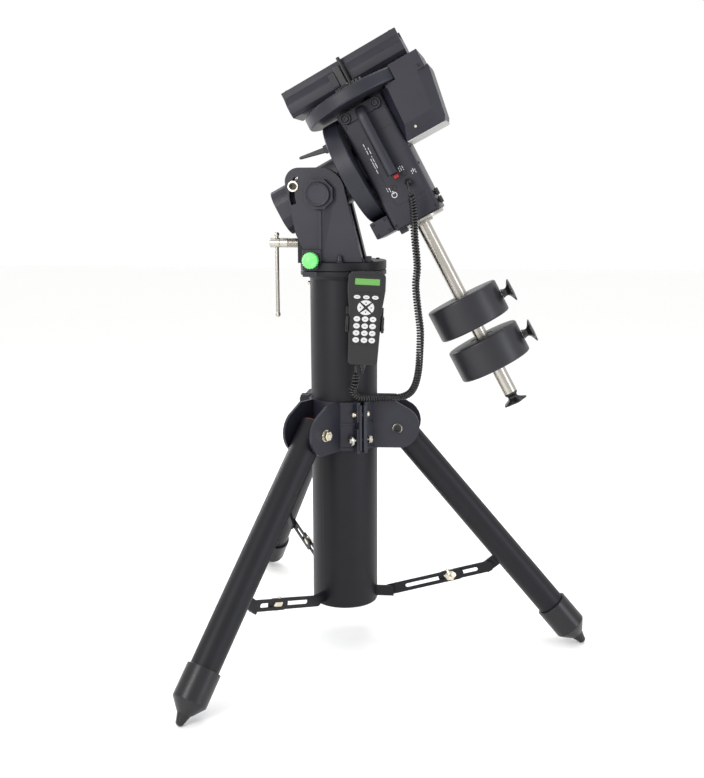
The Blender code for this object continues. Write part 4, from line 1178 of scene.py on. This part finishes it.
class MOUNT_OT_declination_housing(bpy.types.Operator):
    """Declination housing with its handle, control panel, motor boxes and cover"""

    bl_idname = "mount.declination_housing"
    bl_label = "Declination housing"

    def execute(self, context):
        refined("declination_housing", "textured_cast_aluminium", 1.4)
        # The polar shaft takes the dark blackened steel as painted shade, in the gap between this housing and the gear
        # drum.
        refined("polar_shaft", "blackened_steel", 0.3)
        refined("polar_motor_box", "textured_cast_aluminium", 0.9)
        refined("declination_motor_cover", "textured_cast_aluminium", 2.8, convex=True)
        refined("declination_switch", "red_polycarbonate", 0.6)
        self.add_handle_details()
        self.add_panel()
        self.add_side_details()
        self.add_cover_details()
        return {"FINISHED"}

    def add_handle_details(self):
        """Carrying handle with its foot, end bosses and screws."""
        path = [(0, -89.6, w) for w in range(-50, 79, 16)]
        path += [(0, -89.2, 86), (0, -87.0, 93), (0, -82.5, 98.5), (0, -76.0, 101.5), (0, -66.0, 102.5)]
        bar = swept(path, 11.5, 9.4, (1, 0, 0))
        foot = prism(rounded(9.5, 7.5, 3, 4, (0, -42)), (-84, -62.2), "Y")
        ears = []
        for u, w in ((-38, 103), (34, 102)):
            ears.append(prism(rounded(12.5, 12.5, 12.4, 8, (u, w)), (-67.4, -62.3), "Y"))
        ears.append(prism(rounded(34, 12.2, 2, 3, (-2, 102.5)), (-66.6, -62.3), "Y"))
        piece("handle_bar", joined(bar, foot), HEAD_FRAME, "textured_cast_aluminium", "polar", 1.4,
              ["carry_handle"])
        piece("handle_foot_plate", joined(*ears), HEAD_FRAME, "textured_cast_aluminium", "polar", 1.0)
        boss = [(8.2, 66), (12.2, 66), (12.4, 69.6), (11.6, 71.2), (9.0, 71.2), (8.2, 70.2)]
        bosses, screws = [], []
        for u, w in ((-38, 103), (34, 102)):
            bosses.append(turned(boss, 48, "-Y", (u, 0, w)))
            screws.append(socket_screw(6.6, 4.0, 3.2, "-Y", (u, -66.6, w)))
        piece("handle_bosses", joined(*bosses), HEAD_FRAME, "textured_cast_aluminium", "polar", 0.3)
        piece("handle_screws", joined(*screws), HEAD_FRAME, "blackened_steel", "polar", 0.2)

    def add_panel(self):
        """Connection panel: its raised edge, sockets, rocker surround and plain printed marks."""
        edge = rim(rounded(37, 80, 5, 4, (8.5, -33)), rounded(36.0, 79, 4.4, 4, (8.5, -33)),
                   (-62.7, -61.5), "Y")
        piece("panel_edge", edge, HEAD_FRAME, "textured_cast_aluminium", "polar", 0.2)
        surround = rim(rounded(8.6, 7.4, 2, 3, (2, -56)), rounded(6.2, 4.6, 0.8, 3, (2, -56)),
                       (-63.0, -61.5), "Y")
        sockets = [surround]
        for u, w in ((22, -76), (-14, -76), (20, -57)):
            sockets.append(turned([(3.4, 61.5), (5.8, 61.5), (5.8, 63.2), (5.2, 63.8), (3.4, 63.8)], 28, "-Y",
                                  (u, 0, w)))
            sockets.append(turned([(0, 61.5), (3.5, 61.5), (3.5, 62.3), (0, 62.3)], 20, "-Y", (u, 0, w)))
        piece("panel_sockets", joined(*sockets), HEAD_FRAME, "moulded_abs", "polar", 0.2)
        ink = (-62.35, -61.9)
        marks = []
        for u, top, lengths in ((-30, 38, (7, 4, 9)), (-24, 27, (5, 8)), (-30, 3, (6, 16, 9)),
                                (-25.5, 8, (4, 9, 12)), (14, -42, (4, 3)), (18, -40, (3, 6)),
                                (22.5, -42, (5, 3)), (36, -60, (3, 3)), (40, -58, (7,)),
                                (44, -60, (4, 3)), (-29, -68, (3, 4)), (-24, -70, (5, 3))):
            w = top
            for length in lengths:
                marks.append(box((u - 0.75, u + 0.75), ink, (w - length, w)))
                w -= length + 2.0
        marks.append(rim(star(6.4, 0, 1, 32, (-20, -89)), star(5.0, 0, 1, 32, (-20, -89)), ink, "Y"))
        marks.append(box((-21, -19), ink, (-87, -80)))
        piece("panel_marks", joined(*marks), HEAD_FRAME, "white_print", "polar")

    def add_side_details(self):
        """Thumb screws and corner plates of the housing's ends."""
        thumbs = []
        for w in (-124, -143):
            profile = [(0, 55), (4.5, 55), (4.5, 57.5), (7.0, 58, 0.4), (7.4, 59, 0.4), (7.4, 65.5, 0.4),
                       (6.6, 66.5, 0.3), (0, 66.5)]
            thumbs.append(turned(profile, 72, "X", (0, -34, w), 18))
        piece("thumb_screws", joined(*thumbs), HEAD_FRAME, "moulded_abs", "polar", 0.2)
        plate = prism(rounded(51, 57.5, 6, 4), (-161.0, -158.0))
        piece("end_plate", plate, HEAD_FRAME, "textured_cast_aluminium", "polar", 0.8)
        piece("end_block", box((-48, -31), (-46, -26), (-171, -160)), HEAD_FRAME, "moulded_abs", "polar", 1.0)
        screws = [socket_screw(3.2, 2.6, 1.6, "-Y", (u, -61.6, w)) for u in (-48, 49) for w in (-150, 86)]
        piece("housing_screws", joined(*screws), HEAD_FRAME, "blackened_steel", "polar", 0.1)
        side_screws = [socket_screw(3.0, 2.4, 1.5, "X", (55.3, -40, w)) for w in (24, -12, -52)]
        piece("side_screws", joined(*side_screws), HEAD_FRAME, "blackened_steel", "polar", 0.1)
        box_screws = [socket_screw(2.8, 2.2, 1.4, "-Y", (u, -59.8, w))
                      for u in (-92, -64) for w in (-150, -125)]
        piece("motor_box_screws", joined(*box_screws), HEAD_FRAME, "blackened_steel", "polar", 0.1)

    def add_cover_details(self):
        """Screws of the motor's cover, and a light grey plate under it as painted bounce light from the floor."""
        screws = [socket_screw(3.4, 2.4, 1.6, "-Y", (u, -84.6, 122.5)) for u in (80, 152)]
        piece("cover_screws", joined(*screws), HEAD_FRAME, "blackened_steel", "polar", 0.1)
        bright = socket_screw(3.2, 2.4, 1.4, "-Y", (88, -73.4, 16))
        piece("cover_bright_screw", bright, HEAD_FRAME, "zinc_plated_steel", "polar", 0.1)
        recess = rim(star(5.4, 0, 1, 28, (88, 16)), star(3.9, 0, 1, 28, (88, 16)), (-74.2, -70.0), "Y")
        piece("cover_recess", recess, HEAD_FRAME, "moulded_abs", "polar", 0.2)
        # Light grey metal under the cover: painted bounce light from the white floor.
        under = prism([(57, -57), (145, -57), (149, -50), (149, 50), (145, 57), (57, 57)], (-4.6, -2.0))
        piece("cover_painted_bounce_plate", under, HEAD_FRAME, "machined_aluminium", "polar", 0.4)
        seam = prism([(57.4, 2.0), (149, 2.0), (149, 3.2), (57.4, 3.2)], (-60.2, -57.0), "Y")
        piece("cover_seam", seam, HEAD_FRAME, "blackened_steel", "polar")


class MOUNT_OT_counterweights(bpy.types.Operator):
    """Counterweight shaft, its ring, two weights and their knobs"""

    bl_idname = "mount.counterweights"
    bl_label = "Counterweights"

    def execute(self, context):
        steps = context.scene.mount_sizes.round_steps
        shaft = [(0, SHAFT_END), (SHAFT_R - 1.2, SHAFT_END), (SHAFT_R, SHAFT_END + 1.2), (SHAFT_R, -158.4),
                 (0, -158.4)]
        piece("weight_shaft", turned(shaft, steps), HEAD_FRAME, "turned_stainless_steel", "polar", 0.0,
              ["counterweight_shaft"])
        ring = [(SHAFT_R + 0.3, -166.8), (52.6, -166.8), (54.0, -165.4), (54.0, -159.4), (53.0, -158.4),
                (SHAFT_R + 0.3, -158.4)]
        piece("shaft_flange", turned(ring, steps), HEAD_FRAME, "turned_stainless_steel", "polar", 0.2,
              ["shaft_ring"])
        nut = [(SHAFT_R + 0.2, -172.0), (24, -172.0), (25, -171.0), (25, -166.8), (SHAFT_R + 0.2, -166.8)]
        piece("shaft_nut", turned(nut, 6), HEAD_FRAME, "turned_stainless_steel", "polar", 0.4)
        for name, w in WEIGHT_W.items():
            self.add_weight(name, w, steps)
            self.add_knob(name, w)
        self.add_end_knob()
        return {"FINISHED"}

    def add_weight(self, name, w, steps):
        """Turned iron with rounded rims and a shallow step round the bore."""
        round_r, half = 5.0, 37.0
        low = arc((WEIGHT_R - round_r, -half + round_r), round_r, -90, 0, 8)
        high = arc((WEIGHT_R - round_r, half - round_r), round_r, 0, 90, 8)
        profile = [(16.0, -half + 1.2), (26.0, -half + 1.2), (27.2, -half)] + low + high
        profile += [(27.2, half), (26.0, half - 1.2), (17.2, half - 1.2), (16.0, half - 2.4)]
        weight = turned(profile, steps, "Z", (0, 0, w))
        body = f"counterweight_{name}"
        piece(f"weight_{name}", weight, HEAD_FRAME, "painted_cast_iron", body, 0.0, [body])

    def add_knob(self, name, w):
        """Flared knob with five soft lobes, on the clamp screw."""
        r = WEIGHT_R
        profile = [(0, r + 1), (10.0, r + 1), (10.6, r + 2.4), (9.6, r + 4.6), (8.6, r + 8),
                   (8.8, r + 12, 0.2), (11.6, r + 15.4, 0.6), (16.4, r + 18.4, 1.4), (21.6, r + 20.8, 2.2),
                   (24.6, r + 22.6, 2.6), (24.8, r + 24.4, 2.6), (23.4, r + 25.4, 2.4),
                   (18.0, r + 24.6, 1.4), (10.5, r + 23.2, 0.4), (9.6, r + 24.6), (7.5, r + 25.5),
                   (0, r + 25.5)]
        knob = turned(profile, 120, "X", (0, 0, w), 5)
        body = f"counterweight_knob_{name}"
        piece(f"weight_knob_{name}", knob, HEAD_FRAME, "moulded_abs", body, 0.0, [body])
        stud = turned([(0, 34), (4.0, 34), (4.0, r + 1.5), (0, r + 1.5)], 20, "X", (0, 0, w))
        piece(f"weight_stud_{name}", stud, HEAD_FRAME, "zinc_plated_steel", body)

    def add_end_knob(self):
        """Star knob that keeps the weights on the shaft."""
        e = SHAFT_END
        profile = [(0, e - 24), (10.0, e - 24), (11.0, e - 22.8), (17.0, e - 23.2, 0.8), (25.0, e - 24, 2.2),
                   (26.4, e - 23.0, 2.4), (26.2, e - 21.0, 2.4), (22.0, e - 18.6, 1.8), (15.6, e - 15.4, 1.0),
                   (11.4, e - 11.6, 0.4), (10.8, e - 8), (13.2, e - 5.2), (15.0, e - 2.4), (15.0, e - 0.3),
                   (0, e - 0.3)]
        piece("end_stop_star", turned(profile, 120, "Z", (0, 0, 0), 5), HEAD_FRAME, "moulded_abs",
              "end_stop_knob", 0.0, ["end_stop_knob"])


class MOUNT_OT_saddle(bpy.types.Operator):
    """Declination disc and the saddle plate with its clamp"""

    bl_idname = "mount.saddle"
    bl_label = "Saddle"

    def execute(self, context):
        steps = context.scene.mount_sizes.round_steps
        low, high = DISC_W
        disc = [(0, low), (122.0, low), (124.8, low + 1.2), (126.0, low + 4.0), (126.0, high - 4.0),
                (124.8, high - 1.2), (122.0, high), (64.0, high), (64.0, high - 1.6), (58.0, high - 1.6),
                (58.0, SADDLE_LOW - 0.3), (0, SADDLE_LOW - 0.3)]
        piece("gear_disc", turned(disc, steps), HEAD_FRAME, "textured_cast_aluminium", "declination", 0.3,
              ["declination_disc"])
        refined("declination_shaft", "turned_stainless_steel", 0.3)
        refined("saddle_plate", "textured_cast_aluminium", 1.6)
        refined("saddle_clamp", "moulded_abs", 0.4)
        refined("saddle_lever", "blackened_steel", 0.6)
        self.add_details()
        return {"FINISHED"}

    def add_details(self):
        """Clamp screw and tab, toothed ring under the saddle, its lines and bolts."""
        half = SADDLE_HALF_Y
        screw = turned([(0, half - 1), (4.2, half - 1), (4.2, half + 2), (3.4, half + 3), (1.8, half + 3),
                        (1.6, half + 1.4), (0, half + 1.2)], 28, "-Y", (-2, 0, 165.5))
        piece("clamp_screw", screw, HEAD_FRAME, "turned_stainless_steel", "declination", 0.2)
        teeth = prism(star(60.6, 1.5, 42, 336), (152.5, 168.0))
        piece("serrated_ring", teeth, HEAD_FRAME, "moulded_abs", "declination", 0.3)
        lines = [box(u, (-half - 0.25, -half + 1), w) for u in ((-140, -18), (18, 140))
                 for w in ((171.0, 172.2), (190.4, 191.4))]
        piece("saddle_lines", joined(*lines), HEAD_FRAME, "blackened_steel", "declination")
        tab = prism(rounded(7.5, 15, 2, 3, (-24, 188)), (-half - 1.6, -half + 1), "Y")
        piece("clamp_tab", tab, HEAD_FRAME, "textured_cast_aluminium", "declination", 0.5)
        bolts = [socket_screw(5.0, 2.4, 2.6, "Z", (u, 0, 202.0)) for u in (-112, -60, 60, 112)]
        piece("channel_bolts", joined(*bolts), HEAD_FRAME, "blackened_steel", "declination", 0.2)
        tops = [socket_screw(3.6, 1.4, 1.8, "Z", (u, y, 221.6)) for u in (-128, 128) for y in (-38, 38)]
        piece("rail_screws", joined(*tops), HEAD_FRAME, "blackened_steel", "declination", 0.1)


# ---------------------------------------------------------------- panel and run


STEPS = (MOUNT_OT_stage, MOUNT_OT_cord, MOUNT_OT_pier, MOUNT_OT_collar, MOUNT_OT_legs, MOUNT_OT_braces,
         MOUNT_OT_controller, MOUNT_OT_fork, MOUNT_OT_altitude_screw, MOUNT_OT_polar_housing,
         MOUNT_OT_declination_housing, MOUNT_OT_counterweights, MOUNT_OT_saddle)


class MOUNT_PT_sidebar(bpy.types.Panel):
    """Sizes, finishes and the steps that build the mount"""

    bl_idname = "MOUNT_PT_sidebar"
    bl_label = "Mount"
    bl_space_type = "VIEW_3D"
    bl_region_type = "UI"
    bl_category = "Mount"

    def draw(self, context):
        for settings in (context.scene.mount_sizes, context.scene.mount_finishes):
            column = self.layout.column()
            for name in settings.__annotations__:
                column.prop(settings, name)
        for step in STEPS:
            self.layout.operator(step.bl_idname)


CLASSES = (MountSizes, MountFinishes, *STEPS, MOUNT_PT_sidebar)


def register():
    for cls in CLASSES:
        bpy.utils.register_class(cls)
    bpy.types.Scene.mount_sizes = PointerProperty(type=MountSizes)
    bpy.types.Scene.mount_finishes = PointerProperty(type=MountFinishes)


def unregister():
    del bpy.types.Scene.mount_finishes
    del bpy.types.Scene.mount_sizes
    for cls in reversed(CLASSES):
        bpy.utils.unregister_class(cls)


def main():
    register()
    for step in STEPS:
        area, name = step.bl_idname.split(".")
        getattr(getattr(bpy.ops, area), name)()
    boxes = {"cad": CAD_BOX, "visual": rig.bounds()}
    with open(SIZE_FILE, "w") as out:
        json.dump({name: [list(corner) for corner in corners] for name, corners in boxes.items()}, out)


if __name__ == "__main__":
    main()
